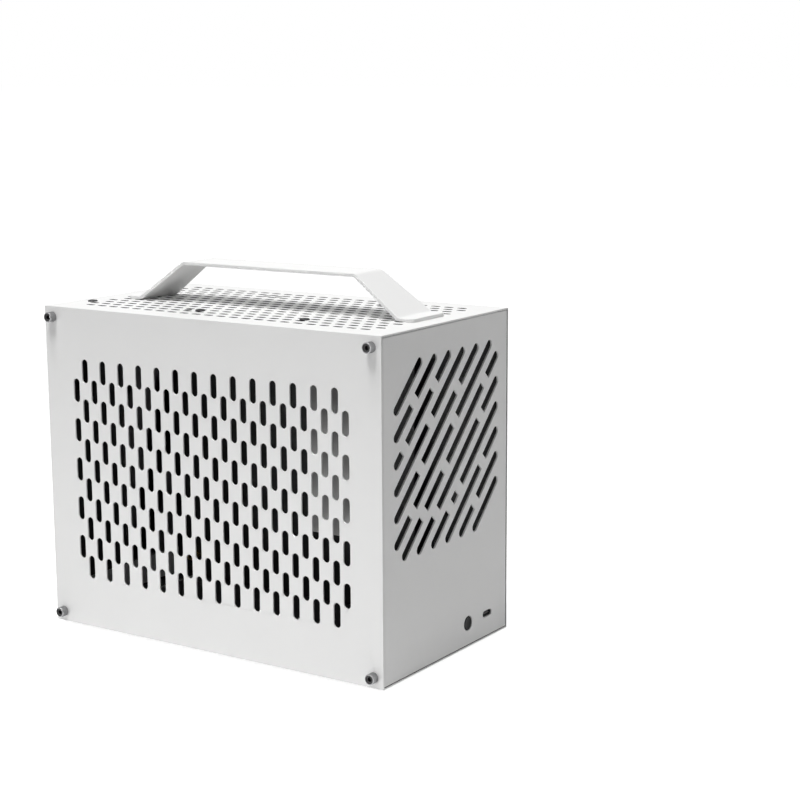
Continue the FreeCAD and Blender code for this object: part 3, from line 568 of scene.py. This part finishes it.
def side_panel(node, body, turn, fields):
    size, middle = spans(node)
    outer_y = math.copysign(abs(middle.y) + size.y / 2, middle.y)
    loops = [plate_loop(size.x, size.z)]
    for columns, rows in fields:
        loops.append(lattice(slot_loop(*SIDE_SLOT), columns, SIDE_COLUMN_PITCH, rows, SIDE_ROW_PITCH))
    for spot in corners(size.x / 2 - SCREW_INSET, size.z / 2 - SCREW_INSET):
        loops.append(hole_loop(SCREW_HOLE, spot))
    panel = fill_pattern(node + "_sheet", loops)
    thicken(panel, size.y)
    settle(panel, (0, outer_y, middle.z), turn)
    return hand_over(panel, body, "white_coat", node)


side_panel("side_panel_left", "left_panel", (90, 0, 0), SIDE_FIELDS)
side_panel("side_panel_right", "right_panel", (90, 0, 180), ())

# %% [markdown]
# The top cover is the same work with smaller slots that lie along the case. Seen so flatly, a slot shows
# only its far cut edge, which is in shade, so the cut edges inside the outline get the black coat as
# painted shade and read as dark dashes. Between the rows are the holes of two fans, and the four holes that
# the handle's studs go through.

# %% The top cover
TOP_COLUMN_PITCH = 8.6
TOP_ROW_PITCH = 7.9
TOP_SLOT = (2.9, 5.8)
TOP_FIELDS = ((23, 7), (24, 6))
FAN_PITCH = 71.5
FAN_HOLE = 4.3
FAN_CENTRES = (-68.25, 11.75)
STUD_HOLE = 3.4
STUD_X = 94.1
STUD_Y = 11.85
CUT_EDGE_TILT = 0.9
OUTLINE_MARGIN = 1.0
PAINTED_SHADE_INDEX = 1

fan_holes = [(centre + x, y) for centre in FAN_CENTRES for x, y in corners(FAN_PITCH / 2, FAN_PITCH / 2)]
handle_middle = spans("handle")[1].x
stud_holes = [(handle_middle + x, y) for x, y in corners(STUD_X, STUD_Y)]


def top_cover():
    size, middle = spans("top_cover")
    loops = [plate_loop(size.x, size.y)]
    for columns, rows in TOP_FIELDS:
        slot = settle(slot_loop(*TOP_SLOT), turn=(0, 0, 90))
        loops.append(lattice(slot, columns, TOP_COLUMN_PITCH, rows, 2 * TOP_ROW_PITCH))
    loops += [hole_loop(FAN_HOLE, spot) for spot in fan_holes]
    loops += [hole_loop(STUD_HOLE, spot) for spot in stud_holes]
    cover = fill_pattern("top_cover_sheet", loops)
    thicken(cover, size.z)
    # the cut edges inside the outline get the black coat, which paints the shade in the slots
    for face in cover.data.polygons:
        spot = face.center / MM
        inside = abs(spot.x) < size.x / 2 - OUTLINE_MARGIN and abs(spot.y) < size.y / 2 - OUTLINE_MARGIN
        if inside and abs(face.normal.z) < CUT_EDGE_TILT:
            face.material_index = PAINTED_SHADE_INDEX
    settle(cover, (0, 0, middle.z + size.z / 2))
    return hand_over(cover, "chassis", "white_coat", "top_cover")


top_cover()

# %% [markdown]
# The bottom plate is plain but for the four holes that hold its feet. It is drawn like the top and then
# turned over, because its white face looks down.

# %% The bottom plate
FOOT_HOLE = 4.2
FOOT_RADIUS = 6.0

feet_span = spans("feet")[0]
foot_holes = corners(feet_span.x / 2 - FOOT_RADIUS, feet_span.y / 2 - FOOT_RADIUS)


def bottom_plate():
    size, middle = spans("bottom_plate")
    loops = [plate_loop(size.x, size.y)] + [hole_loop(FOOT_HOLE, spot) for spot in foot_holes]
    plate = fill_pattern("bottom_plate_sheet", loops)
    thicken(plate, size.z)
    settle(plate, (0, 0, middle.z - size.z / 2), (180, 0, 0))
    return hand_over(plate, "chassis", "white_coat", "bottom_plate")


bottom_plate()

# %% [markdown]
# Front and rear are shallow trays: a face with its four edges folded back. The fold is modelled as a press
# brake makes it. The outline of the face is extruded in small steps round a quarter circle, and then
# straight back to the end of the flange.

# %% Folding a tray
FOLD_RADIUS = 1.0
FOLD_STEPS = 6
SHEET = spans("top_cover")[0].z


def fold_back(sheet, width, height, depth):
    """Extrudes the outline of a filled face round its folds and back into four flanges."""
    half = Vector((width / 2 - FOLD_RADIUS, height / 2 - FOLD_RADIUS))
    pick(sheet, "EDGE", lambda spot: abs(spot.x) > half.x - TOUCH / MM or abs(spot.y) > half.y - TOUCH / MM)
    reach, back = half, 0.0
    for step in range(1, FOLD_STEPS + 1):
        angle = math.radians(90 * step / FOLD_STEPS)
        out = FOLD_RADIUS * math.sin(angle)
        next_back = FOLD_RADIUS * (1 - math.cos(angle))
        bpy.ops.mesh.extrude_edges_move(
            TRANSFORM_OT_translate={"value": (0, 0, (back - next_back) * MM)})
        next_reach = half + Vector((out, out))
        bpy.ops.transform.resize(value=(next_reach.x / reach.x, next_reach.y / reach.y, 1))
        reach, back = next_reach, next_back
    bpy.ops.mesh.extrude_edges_move(TRANSFORM_OT_translate={"value": (0, 0, (back - depth) * MM)})
    bpy.ops.mesh.select_all(action="SELECT")
    bpy.ops.mesh.normals_make_consistent(inside=False)
    close()


def tray_outline(size):
    """The flat part of a tray's face, inside its folds."""
    return plate_loop(size.y - 2 * FOLD_RADIUS, size.z - 2 * FOLD_RADIUS)


print("sheets are", round(SHEET, 2), "mm thick and folds have a radius of", FOLD_RADIUS, "mm")

# %% [markdown]
# The vent on the front is a square of twelve diagonals. Each is broken by narrow bridges that keep the
# sheet stiff. A slot's ends at the edge of the square are round, and its ends at a bridge are cut off
# square, so each piece of a diagonal is one slot loop with the ends that it needs, turned by 45 degrees.

# %% The front panel
VENT_SIDE = 100.0
VENT_MIDDLE_Z = 120.0
VENT_SHORTEST = 22.2
VENT_SLOT_WIDTH = 5.2
VENT_BRIDGE = 6.5
VENT_BRIDGES = (
    (), (0.46,), (0.15, 0.72), (0.50,), (0.29, 0.76), (0.16, 0.61),
    (0.20, 0.43, 0.87), (0.21, 0.79), (0.26, 0.40), (0.71,), (0.40,), (),
)
BUTTON = (20.7, 16.7)
BUTTON_HOLE = 8.5
PORT = (41.3, 17.2)
PORT_CUTOUT = (3.8, 9.5)


def vent_slots(middle_z):
    """Every piece of the twelve diagonals, as loops in the drawing of the front."""
    loops = []
    last = len(VENT_BRIDGES) - 1
    for row, bridges in enumerate(VENT_BRIDGES):
        shift = (last / 2 - row) * 2 * (VENT_SIDE - VENT_SHORTEST) / last
        run = VENT_SIDE - abs(shift)
        left = max(0, -shift) - VENT_SIDE / 2
        bottom = max(0, shift) - VENT_SIDE / 2 + VENT_MIDDLE_Z - middle_z
        low = Vector((left, bottom))
        gap = VENT_BRIDGE / 2 / math.sqrt(2)
        marks = [0]
        for share in bridges:
            marks += [share * run - gap, share * run + gap]
        marks.append(run)
        for start, end in zip(marks[0::2], marks[1::2]):
            round_start = start == 0
            round_end = end == run
            long = (end - start) * math.sqrt(2) + VENT_SLOT_WIDTH / 2 * (round_start + round_end)
            shove = VENT_SLOT_WIDTH / 4 * (round_end - round_start) / math.sqrt(2)
            along = (start + end) / 2 + shove
            middle = low + Vector((along, along))
            slot = slot_loop(VENT_SLOT_WIDTH, long, round_start, round_end)
            loops.append(settle(slot, (*middle, 0), (0, 0, -45)))
    return loops


def front_panel():
    size, middle = spans("front_panel")
    loops = [tray_outline(size)] + vent_slots(middle.z)
    loops.append(hole_loop(BUTTON_HOLE, (BUTTON[0], BUTTON[1] - middle.z)))
    port = slot_loop(*PORT_CUTOUT)
    loops.append(settle(port, (PORT[0], PORT[1] - middle.z, 0), (0, 0, 90)))
    tray = fill_pattern("front_panel_tray", loops)
    fold_back(tray, size.y, size.z, size.x)
    thicken(tray, SHEET)
    settle(tray, (middle.x + size.x / 2, 0, middle.z), (90, 0, 90))
    return hand_over(tray, "chassis", "white_coat", "front_panel")


front_panel()

# %% [markdown]
# The rear tray has the openings of every such case: the tall aperture for the board's connectors, one slot
# for an expansion card and the cut-out of the power inlet with its two screw holes. Its drawing is seen
# from behind, so the sideways axis runs the other way.

# %% The rear panel
SHIELD_LAP = 1.2
COVER_LAP = 2.0
COVER_TAB = 9.0
INLET_FACE = (20.0, 27.6)
INLET_CORNER = 4.0
INLET_HOLE_PITCH = 40.0
SMALL_HOLE = 3.1


def opening(node, low_lap, high_lap, lap_z, middle_z):
    """A rectangular opening in the drawing of the rear, under the plate that covers it."""
    size, middle = spans(node)
    width = size.y - low_lap - high_lap
    across = middle.y + (low_lap - high_lap) / 2
    return plate_loop(width, size.z - 2 * lap_z, (-across, middle.z - middle_z))


def inlet_opening(place):
    """The inlet's cut-out: a rectangle with the two corners towards the board cut off."""
    loop = plane(*INLET_FACE)
    pick(loop, "VERT", lambda spot: spot.x < 0)
    bpy.ops.mesh.bevel(offset=INLET_CORNER * MM, segments=1, affect="VERTICES")
    bpy.ops.mesh.select_all(action="SELECT")
    bpy.ops.mesh.delete(type="ONLY_FACE")
    close()
    return settle(loop, (*place, 0))


def rear_panel():
    size, middle = spans("rear_panel")
    inlet = spans("power_inlet")[1]
    cover_screw = spans("slot_cover_screw")[1]
    loops = [
        tray_outline(size),
        opening("io_shield", SHIELD_LAP, SHIELD_LAP, SHIELD_LAP, middle.z),
        opening("slot_cover", COVER_TAB, COVER_LAP, COVER_LAP, middle.z),
        inlet_opening((-inlet.y, inlet.z - middle.z)),
        hole_loop(SMALL_HOLE, (-cover_screw.y, cover_screw.z - middle.z)),
    ]
    for end in (-1, 1):
        loops.append(hole_loop(SMALL_HOLE, (-inlet.y, inlet.z + end * INLET_HOLE_PITCH / 2 - middle.z)))
    tray = fill_pattern("rear_panel_tray", loops)
    fold_back(tray, size.y, size.z, size.x)
    thicken(tray, SHEET)
    settle(tray, (middle.x - size.x / 2, 0, middle.z), (90, 0, -90))
    return hand_over(tray, "chassis", "white_coat", "rear_panel")


rear_panel()

# %% [markdown]
# A pressed steel shield closes the aperture until a board brings its own. Such shields have raised fields,
# one for each kind of socket, that are broken out as needed. Each field is a thin block with rounded edges
# that stands on the plate, still a little below the level of the white sheet.

# %% The shield in the aperture
SHIELD_RIM = 0.8
SHIELD_GAP = 0.2
SHIELD_SINK = 0.5
FIELD_SINK = 0.1
FIELD_ROUND = 0.3
FIELDS = (
    # across, up, width and height
    (-10, 64, 14, 16), (10, 64, 14, 16), (0, 40, 36, 16), (-9, 13, 16, 24), (10, 13, 14, 24),
    (0, -16, 36, 18), (0, -42, 36, 16), (-12, -65, 10, 14), (0, -65, 10, 14), (12, -65, 10, 14),
)


def block(size, place):
    """A box of a size, with its middle at a place."""
    bpy.ops.mesh.primitive_cube_add(size=MM)
    box = bpy.context.object
    box.scale = size
    return settle(box, place)


def io_shield():
    size, middle = spans("io_shield")
    rear_size, rear_middle = spans("rear_panel")
    inset = 2 * (SHIELD_LAP + SHIELD_GAP)
    rim = block((size.y, size.z, SHIELD_RIM), (0, 0, SHIELD_RIM / 2 - size.x))
    plate_depth = size.x - SHIELD_SINK
    plate = block((size.y - inset, size.z - inset, plate_depth), (0, 0, -SHIELD_SINK - plate_depth / 2))
    fields = []
    for across, up, width, height in FIELDS:
        field = block((width, height, 2 * SHIELD_SINK), (across, up, -FIELD_SINK - SHIELD_SINK))
        modify(field, "BEVEL", width=FIELD_ROUND * MM, segments=3)
        fields.append(field)
    shield = join("io_shield_pressed", [rim, plate] + fields)
    settle(shield, (rear_middle.x - rear_size.x / 2, middle.y, middle.z), (90, 0, -90))
    return hand_over(shield, "chassis", "plated_steel", "io_shield")


io_shield()

# %% [markdown]
# Screws, studs, the button and the feet are turned parts. A lathe makes them from a half outline, and so
# does Spin: a single vertex is extruded along the outline and the line is swept once round the axis. A
# thread is cut as rings of its pitch, which at this size can't be told from a helix.

# %% Turning
THREAD_PITCH = 0.5
THREAD_DEPTH = 0.3


def turned(name, profile, steps):
    """Sweeps a half outline of (radius, height) once round the Z axis."""
    bpy.ops.mesh.primitive_plane_add(size=MM)
    piece = bpy.context.object
    piece.name = name
    pick(piece, "VERT", lambda spot: True)
    bpy.ops.mesh.merge(type="CENTER")
    bpy.ops.transform.translate(value=(profile[0][0] * MM, 0, profile[0][1] * MM))
    for (radius, height), (next_radius, next_height) in zip(profile, profile[1:]):
        step = ((next_radius - radius) * MM, 0, (next_height - height) * MM)
        bpy.ops.mesh.extrude_vertices_move(TRANSFORM_OT_translate={"value": step})
    bpy.ops.mesh.select_all(action="SELECT")
    bpy.ops.mesh.spin(steps=steps, angle=2 * math.pi, center=(0, 0, 0), axis=(0, 0, 1))
    bpy.ops.mesh.select_all(action="SELECT")
    bpy.ops.mesh.remove_doubles(threshold=TOUCH / 10)
    bpy.ops.mesh.normals_make_consistent(inside=False)
    close()
    return piece


def thread(radius, low, high):
    """The half outline of a thread from its tip up."""
    root = radius - THREAD_DEPTH
    turns = round((high - low) / THREAD_PITCH)
    points = [(0, low), (root, low)]
    for turn in range(turns):
        height = low + (turn + 0.5) * (high - low) / turns
        points += [(radius, height), (root, height + 0.5 * (high - low) / turns)]
    return points


print("threads have a pitch of", THREAD_PITCH, "mm")

# %% [markdown]
# The panel screws are dark socket-head screws that stand well proud of the white sheet, so they catch the
# eye. The head has straight knurls, a dished end inside a narrow rim and a hexagon socket. The knurls are
# every second face of the head's side, inset and pushed in, and the socket is one Boolean cut. The end
# inside the rim and the socket are black.

# %% The panel screws
HEAD_RADIUS = 2.9
HEAD_LENGTH = 4.4
HEAD_CHAMFER = 0.3
HEAD_RIM = 0.55
HEAD_DISH = 0.5
KEY_FLATS = 2.5
KEY_DEPTH = 1.8
SCREW_THREAD_RADIUS = 1.45
SCREW_TIP = HEAD_LENGTH - spans("panel_screws_left")[0].y
SCREW_NECK = 0.4
DISH_SLOPE = 0.15
KNURL_FACES = 48
KNURL_DEPTH = 0.13
KNURL_LAND = 0.05
KNURL_ENDS = 0.5
CUTTER_OVER = 1.0


def socket_cut(piece, flats, low, high):
    """Cuts a hexagon socket into the end of a turned piece."""
    bpy.ops.mesh.primitive_cylinder_add(
        vertices=6, radius=flats / math.sqrt(3) * MM, depth=(high - low) * MM,
        location=(0, 0, (low + high) / 2 * MM))
    key = bpy.context.object
    modify(piece, "BOOLEAN", operation="DIFFERENCE", object=key, solver="EXACT")
    bpy.data.objects.remove(key)


def panel_screw():
    rim = HEAD_RADIUS - HEAD_RIM
    end = HEAD_LENGTH - HEAD_DISH
    screw = turned("panel_screw", thread(SCREW_THREAD_RADIUS, SCREW_TIP, -SCREW_NECK) + [
        (SCREW_THREAD_RADIUS, 0),
        (HEAD_RADIUS - HEAD_CHAMFER / 2, 0),
        (HEAD_RADIUS, HEAD_CHAMFER / 2),
        (HEAD_RADIUS, HEAD_LENGTH - HEAD_CHAMFER),
        (HEAD_RADIUS - HEAD_CHAMFER, HEAD_LENGTH),
        (rim, HEAD_LENGTH),
        (rim - DISH_SLOPE, end),
        (0, end),
    ], KNURL_FACES)

    def knurl(spot):
        on_side = math.hypot(spot.x, spot.y) > HEAD_RADIUS - NEAR / 2
        turn = math.degrees(math.atan2(spot.y, spot.x)) / 360 * KNURL_FACES
        return on_side and KNURL_ENDS < spot.z < HEAD_LENGTH - KNURL_ENDS and math.floor(turn) % 2 == 0

    pick(screw, "FACE", knurl)
    bpy.ops.mesh.inset(thickness=KNURL_LAND * MM, depth=-KNURL_DEPTH * MM, use_individual=True)
    close()
    socket_cut(screw, KEY_FLATS, end - KEY_DEPTH, end + CUTTER_OVER)
    for finish in ("dark_steel", "black_plastic"):
        screw.data.materials.append(FINISHES[finish])
    for face in screw.data.polygons:
        spot = face.center / MM
        within_rim = math.hypot(spot.x, spot.y) < rim - TOUCH / MM
        face.material_index = int(within_rim and spot.z > end - KEY_DEPTH - NEAR)
    return screw


def panel_screws(panel, node, body):
    """Four copies of the screw, one in each corner of a panel."""
    size, middle = spans(panel)
    outward = math.copysign(1, middle.y)
    first = panel_screw()
    screws = []
    for x, z in corners(size.x / 2 - SCREW_INSET, size.z / 2 - SCREW_INSET):
        place = (x, outward * (abs(middle.y) + size.y / 2), middle.z + z)
        screws.append(settle(copy_of(first), place, (-90 * outward, 0, 0)))
    bpy.data.objects.remove(first)
    return hand_over(join(node + "_turned", screws), body, "dark_steel", node)


panel_screws("side_panel_left", "panel_screws_left", "left_panel")
panel_screws("side_panel_right", "panel_screws_right", "right_panel")

# %% [markdown]
# Low black screws sit in three fan holes next to the slotted side, and the other holes are empty. They are
# no taller than a coin is thick, yet from the front they show as small dark dashes on the white sheet.

# %% The fan screws
FAN_SCREWS = (0, 4, 6)
FAN_SCREW_RADIUS = 2.8
FAN_SCREW_HEIGHT = 0.9
FAN_SCREW_LENGTH = 5.0
FAN_SCREW_THREAD = 1.5
FAN_SCREW_NECK = 0.2
FAN_SCREW_FACES = 32
FAN_KEY_FLATS = 2.0
FAN_SCREW_DOME = (
    # shares of the head's radius and height
    (1, 0.45), (0.93, 0.72), (0.78, 0.92), (0.6, 1), (0, 1),
)


def fan_screws():
    top = spans("top_cover")
    surface = top[1].z + top[0].z / 2
    outline = thread(FAN_SCREW_THREAD, -FAN_SCREW_LENGTH, -FAN_SCREW_NECK)
    outline += [(FAN_SCREW_THREAD, 0), (FAN_SCREW_RADIUS, 0)]
    outline += [(FAN_SCREW_RADIUS * out, FAN_SCREW_HEIGHT * up) for out, up in FAN_SCREW_DOME]
    first = turned("fan_screw", outline, FAN_SCREW_FACES)
    socket_cut(first, FAN_KEY_FLATS, -FAN_SCREW_NECK, FAN_SCREW_HEIGHT + CUTTER_OVER)
    screws = [settle(copy_of(first), (*fan_holes[index], surface)) for index in FAN_SCREWS]
    bpy.data.objects.remove(first)
    return hand_over(join("fan_screws", screws), "chassis", "black_coat")


fan_screws()

# %% [markdown]
# The handle is one strip of two-millimetre sheet that widens down its legs. Its underside is modelled as a
# ribbon: the grip is a plane, its ends are extruded down the legs and out to the feet, and grip and feet
# are scaled to their widths. The bends are rounded by Bevel and the strip is then thickened upwards, so
# that all bends keep the gauge. The studs below the feet are turned and joined to it.

# %% The handle
HANDLE_SHEET = 2.0
GRIP = 118.0
GRIP_RISE = 21.5
GRIP_WIDTH = 26.5
FOOT_WIDTH = 33.0
LEG_BASE = 178.4
BEND_INSIDE = 3.0
FOOT_CORNER = 3.5
FOOT_CORNER_STEPS = 6
HANDLE_EDGE = 0.35
STUD_RADIUS = 1.5
STUD_FACES = 20
BEND_STEPS = 7


def handle():
    size, middle = spans("handle")
    top = middle.z + size.z / 2
    lean = (LEG_BASE - GRIP) / 2
    foot = (size.x - LEG_BASE) / 2
    strip = plane(GRIP, size.y, (0, 0, top - HANDLE_SHEET))
    for side in (-1, 1):
        pick(strip, "EDGE", lambda spot: abs(spot.x - side * GRIP / 2) < NEAR)
        for step in ((side * lean, 0, -GRIP_RISE), (side * foot, 0, 0)):
            bpy.ops.mesh.extrude_edges_move(TRANSFORM_OT_translate={"value": Vector(step) * MM})
        close()
    for width, wanted in (
        (GRIP_WIDTH, lambda spot: abs(spot.x) < GRIP / 2 + NEAR),
        (FOOT_WIDTH, lambda spot: abs(spot.x) > LEG_BASE / 2 - NEAR),
    ):
        pick(strip, "VERT", wanted)
        bpy.ops.transform.resize(value=(1, width / size.y, 1))
        close()
    half_bend = math.tan(math.atan2(GRIP_RISE, lean) / 2)
    for bend, radius in ((GRIP / 2, BEND_INSIDE), (LEG_BASE / 2, BEND_INSIDE + HANDLE_SHEET)):
        pick(strip, "EDGE", lambda spot: abs(abs(spot.x) - bend) < NEAR and abs(spot.y) < NEAR)
        bpy.ops.mesh.bevel(offset=radius * half_bend * MM, segments=BEND_STEPS, affect="EDGES")
        close()
    pick(strip, "VERT", lambda spot: abs(spot.x) > size.x / 2 - NEAR)
    bpy.ops.mesh.bevel(offset=FOOT_CORNER * MM, segments=FOOT_CORNER_STEPS, affect="VERTICES")
    close()
    modify(strip, "SOLIDIFY", thickness=HANDLE_SHEET * MM, offset=1, use_even_offset=True)
    modify(
        strip, "BEVEL", width=HANDLE_EDGE * MM, segments=3, limit_method="ANGLE", angle_limit=SHARP_ANGLE)
    settle(strip, (middle.x, 0, 0))
    seat = top - HANDLE_SHEET - GRIP_RISE
    tip = middle.z - size.z / 2 - seat
    stud = turned("stud", thread(STUD_RADIUS, tip, 0) + [(0, 0)], STUD_FACES)
    studs = [settle(copy_of(stud), (*spot, seat)) for spot in stud_holes]
    bpy.data.objects.remove(stud)
    return hand_over(join("handle_strip", [strip] + studs), "chassis", "white_coat", "handle")


handle()

# %% [markdown]
# The power button is a black cap in a hole with a thin shadow gap round it. Its face is slightly dished for
# a fingertip and its edge is rounded. A collar behind the sheet keeps it in, and its stem reaches the
# switch.

# %% The power button
CAP_RADIUS = 4.05
COLLAR_RADIUS = 5.45
COLLAR_GAP = 0.1
COLLAR_THICKNESS = 1.2
STEM_RADIUS = 1.2
STEM_CHAMFER = 0.2
CAP_DISH = 0.34
CAP_OUTLINE = (
    # distance in from the cap's edge, and height
    (0, -0.55), (0.12, -0.25), (0.35, -0.06), (0.7, 0), (1.1, -0.06), (2.2, -0.24),
)
CAP_FACES = 40


def power_button():
    size, middle = spans("power_button")
    back = -size.x
    seat = -SHEET - COLLAR_GAP
    outline = [
        (0, back),
        (STEM_RADIUS - STEM_CHAMFER, back),
        (STEM_RADIUS, back + STEM_CHAMFER),
        (STEM_RADIUS, seat - COLLAR_THICKNESS),
        (COLLAR_RADIUS, seat - COLLAR_THICKNESS),
        (COLLAR_RADIUS, seat),
        (CAP_RADIUS, seat),
    ]
    outline += [(CAP_RADIUS - inward, height) for inward, height in CAP_OUTLINE]
    button = turned("power_button_cap", outline + [(0, -CAP_DISH)], CAP_FACES)
    settle(button, (middle.x + size.x / 2, *BUTTON), (0, 90, 0))
    return hand_over(button, "power_button", "button_cap", "power_button")


power_button()

# %% [markdown]
# The port is a drawn steel shell with round ends. It starts as a round-ended loop that is filled, extruded
# to its length, inset by its wall and pushed in to make the well. A thin black tongue with eight contacts
# on each face stands in the well.

# %% The front port
PORT_SHELL = (3.2, 8.9)
PORT_WALL = 0.35
PORT_WELL = 6.0
PORT_EDGE = 0.06
TONGUE = (6.2, 0.7, 5.6)
TONGUE_EDGE = 0.12
CONTACT = (0.34, 0.06, 3.6)
CONTACT_PITCH = 0.66
CONTACT_START = 0.4
CONTACTS = 8


def port_shell(size):
    """The drawn shell, lying with its mouth up."""
    shell = settle(slot_loop(*PORT_SHELL), turn=(0, 0, 90))
    pick(shell, "EDGE", lambda spot: True)
    bpy.ops.mesh.edge_face_add()
    bpy.ops.mesh.extrude_region_move(TRANSFORM_OT_translate={"value": (0, 0, size.x * MM)})
    close()
    pick(shell, "FACE", lambda spot: spot.z > size.x - NEAR)
    bpy.ops.mesh.inset(thickness=PORT_WALL * MM)
    bpy.ops.mesh.extrude_region_move(TRANSFORM_OT_translate={"value": (0, 0, -PORT_WELL * MM)})
    bpy.ops.mesh.select_all(action="SELECT")
    bpy.ops.mesh.normals_make_consistent(inside=False)
    close()
    modify(shell, "BEVEL", width=PORT_EDGE * MM, segments=2, limit_method="ANGLE", angle_limit=SHARP_ANGLE)
    return join("front_port_shell", [shell])


def front_port():
    size, middle = spans("front_port")
    floor_z = size.x - PORT_WELL
    tongue = block(TONGUE, (0, 0, floor_z + TONGUE[2] / 2))
    modify(tongue, "BEVEL", width=TONGUE_EDGE * MM, segments=2)
    rows = []
    for face in (-1, 1):
        first = -(CONTACTS - 1) / 2 * CONTACT_PITCH
        row = block(CONTACT, (first, face * TONGUE[1] / 2, floor_z + CONTACT_START + CONTACT[2] / 2))
        repeat(row, CONTACTS, (CONTACT_PITCH, 0, 0))
        rows.append(row)
    place = (middle.x - size.x / 2, middle.y, middle.z)
    turn = (90, 0, 90)
    hand_over(settle(port_shell(size), place, turn), "chassis", "port_steel", "front_port")
    hand_over(settle(join("port_tongue", [tongue]), place, turn), "chassis", "black_plastic")
    hand_over(settle(join("port_contacts", rows), place, turn), "chassis", "brass")


front_port()

# %% [markdown]
# The rubber feet are turned with a rounded sole and a barbed plug that holds each in its hole. Only a thin
# dark line of them shows under the case.

# %% The feet
SOLE_ROUND = 0.6
SOLE_STEP = 1.0
SOLE_FLARE = 0.1
SOLE_RECESS = 0.25
SOLE_RING = (2.6, 3.0)
ARC_SHARE = 0.3
FOOT_TOP_ROUND = 0.3
PLUG_RADIUS = 2.0
BARB_RADIUS = 3.0
BARB_HEIGHT = 0.4
BARB_TAPER = 0.1
FOOT_FACES = 32


def feet():
    plate_size, plate_middle = spans("bottom_plate")
    under = plate_middle.z - plate_size.z / 2
    over = plate_middle.z + plate_size.z / 2
    sole = FOOT_RADIUS - SOLE_STEP
    first = turned("foot", [
        (0, SOLE_RECESS),
        (SOLE_RING[0], SOLE_RECESS),
        (SOLE_RING[1], 0),
        (sole - SOLE_ROUND, 0),
        (sole - SOLE_ROUND * ARC_SHARE, SOLE_ROUND * ARC_SHARE),
        (sole + SOLE_FLARE, SOLE_ROUND),
        (FOOT_RADIUS - FOOT_TOP_ROUND / 2, under - FOOT_TOP_ROUND),
        (FOOT_RADIUS - FOOT_TOP_ROUND, under),
        (PLUG_RADIUS, under),
        (PLUG_RADIUS, over),
        (BARB_RADIUS, over),
        (BARB_RADIUS - BARB_TAPER, over + BARB_HEIGHT),
        (PLUG_RADIUS, feet_span.z),
        (0, feet_span.z),
    ], FOOT_FACES)
    feet_pieces = [settle(copy_of(first), (*spot, 0)) for spot in foot_holes]
    bpy.data.objects.remove(first)
    return hand_over(join("rubber_feet", feet_pieces), "chassis", "rubber", "feet")


feet()

# %% [markdown]
# The stage is a wide pale floor that runs to the horizon. It is a little self-lit for the camera, so that
# it blends into the white background, and still shows the soft shadow that anchors the case.

# %% The floor and the background
FLOOR_SIDE = 60.0
FLOOR_SHADE = (0.76, 0.76, 0.76)
AMBIENT = 0.18
FLOOR_GLOW = 0.87


def floor():
    """A wide floor that glows a little for the camera."""
    bpy.ops.mesh.primitive_plane_add(size=FLOOR_SIDE)
    ground = bpy.context.object
    ground.name = "floor"
    paint = Finish("floor_paint")
    paint.done({"Base Color": (*FLOOR_SHADE, 1), "Roughness": 0.9, "Specular IOR Level": 0.0})
    glow = paint.node("ShaderNodeEmission", 0, None, {"Strength": paint.seen_directly() * FLOOR_GLOW})
    lit = Signal(paint, paint.shader.outputs[0])
    both = paint.node("ShaderNodeAddShader", 0, None, {0: lit, 1: glow})
    paint.feed(paint.tree.nodes["Material Output"], {"Surface": both})
    ground.data.materials.append(paint.material)


def background():
    """White where it is seen, and a softer white as light."""
    world = bpy.data.worlds.new("studio")
    bpy.context.scene.world = world
    world.use_nodes = True
    room = Wiring(world.node_tree)
    strength = room.seen_directly() * (1 - AMBIENT) + AMBIENT
    room.feed(room.tree.nodes["Background"], {"Color": (1, 1, 1, 1), "Strength": strength})


floor()
background()
print("floor glows by", FLOOR_GLOW, "and the room lights by", AMBIENT)

# %% [markdown]
# Most light comes from a softbox high above the slotted side, so that the screw heads and the handle throw
# their shadows straight down. The pale floor throws much of it back up. A strip light close to the floor,
# with a narrow spread, brightens the slotted side most near its foot. A weak light behind the front's far
# edge lifts that end of the front, which otherwise gets only the room's own light and reads as grey beside
# the bright side.

# %% The lights
LIGHTS = (
    # name, place, the height that it is aimed at, width and height, all in metres,
    # then power in watts and spread in degrees
    ("overhead", (0.0, -0.44, 1.55), 0.1, (0.35, 0.7), 21.0, 180),
    ("low_side", (-0.45, -1.5, 0.03), 0.05, (1.2, 0.04), 0.20, 18),
    ("far_fill", (0.45, 0.75, 0.45), 0.1, (0.4, 0.4), 0.7, 180),
)

for name, place, aim_height, (width, height), power, spread in LIGHTS:
    bpy.ops.object.light_add(type="AREA", location=place)
    lamp = bpy.context.object
    lamp.name = name
    lamp.data.shape = "RECTANGLE"
    lamp.data.size = width
    lamp.data.size_y = height
    lamp.data.energy = power
    lamp.data.spread = math.radians(spread)
    aim = Vector((0, 0, aim_height)) - Vector(place)
    lamp.rotation_euler = aim.to_track_quat("-Z", "Y").to_euler()
print("lights:", [light[0] for light in LIGHTS])

# %% [markdown]
# The camera stands a little above the case and off its front corner, on the slotted side. Its angles and
# its lens were found from where the corners of the case lie in the picture.

# %% The camera
CAMERA_PLACE = (604.8, -790.0, 317.2)
CAMERA_YAW = 33.38
CAMERA_PITCH = 10.45
CAMERA_ROLL = -0.31
LENS = 80.06
SENSOR = 36
FAR_CLIP = 200

bpy.ops.object.camera_add()
camera = bpy.context.object
camera.data.lens = LENS
camera.data.sensor_width = SENSOR
camera.data.clip_end = FAR_CLIP
camera.matrix_world = (
    Matrix.Translation(Vector(CAMERA_PLACE) * MM)
    @ Matrix.Rotation(math.radians(CAMERA_YAW), 4, "Z")
    @ Matrix.Rotation(math.radians(90 - CAMERA_PITCH), 4, "X")
    @ Matrix.Rotation(math.radians(CAMERA_ROLL), 4, "Z")
)
bpy.context.scene.camera = camera
bpy.context.scene.view_settings.view_transform = "Standard"
print("camera at", [round(c, 3) for c in camera.location])
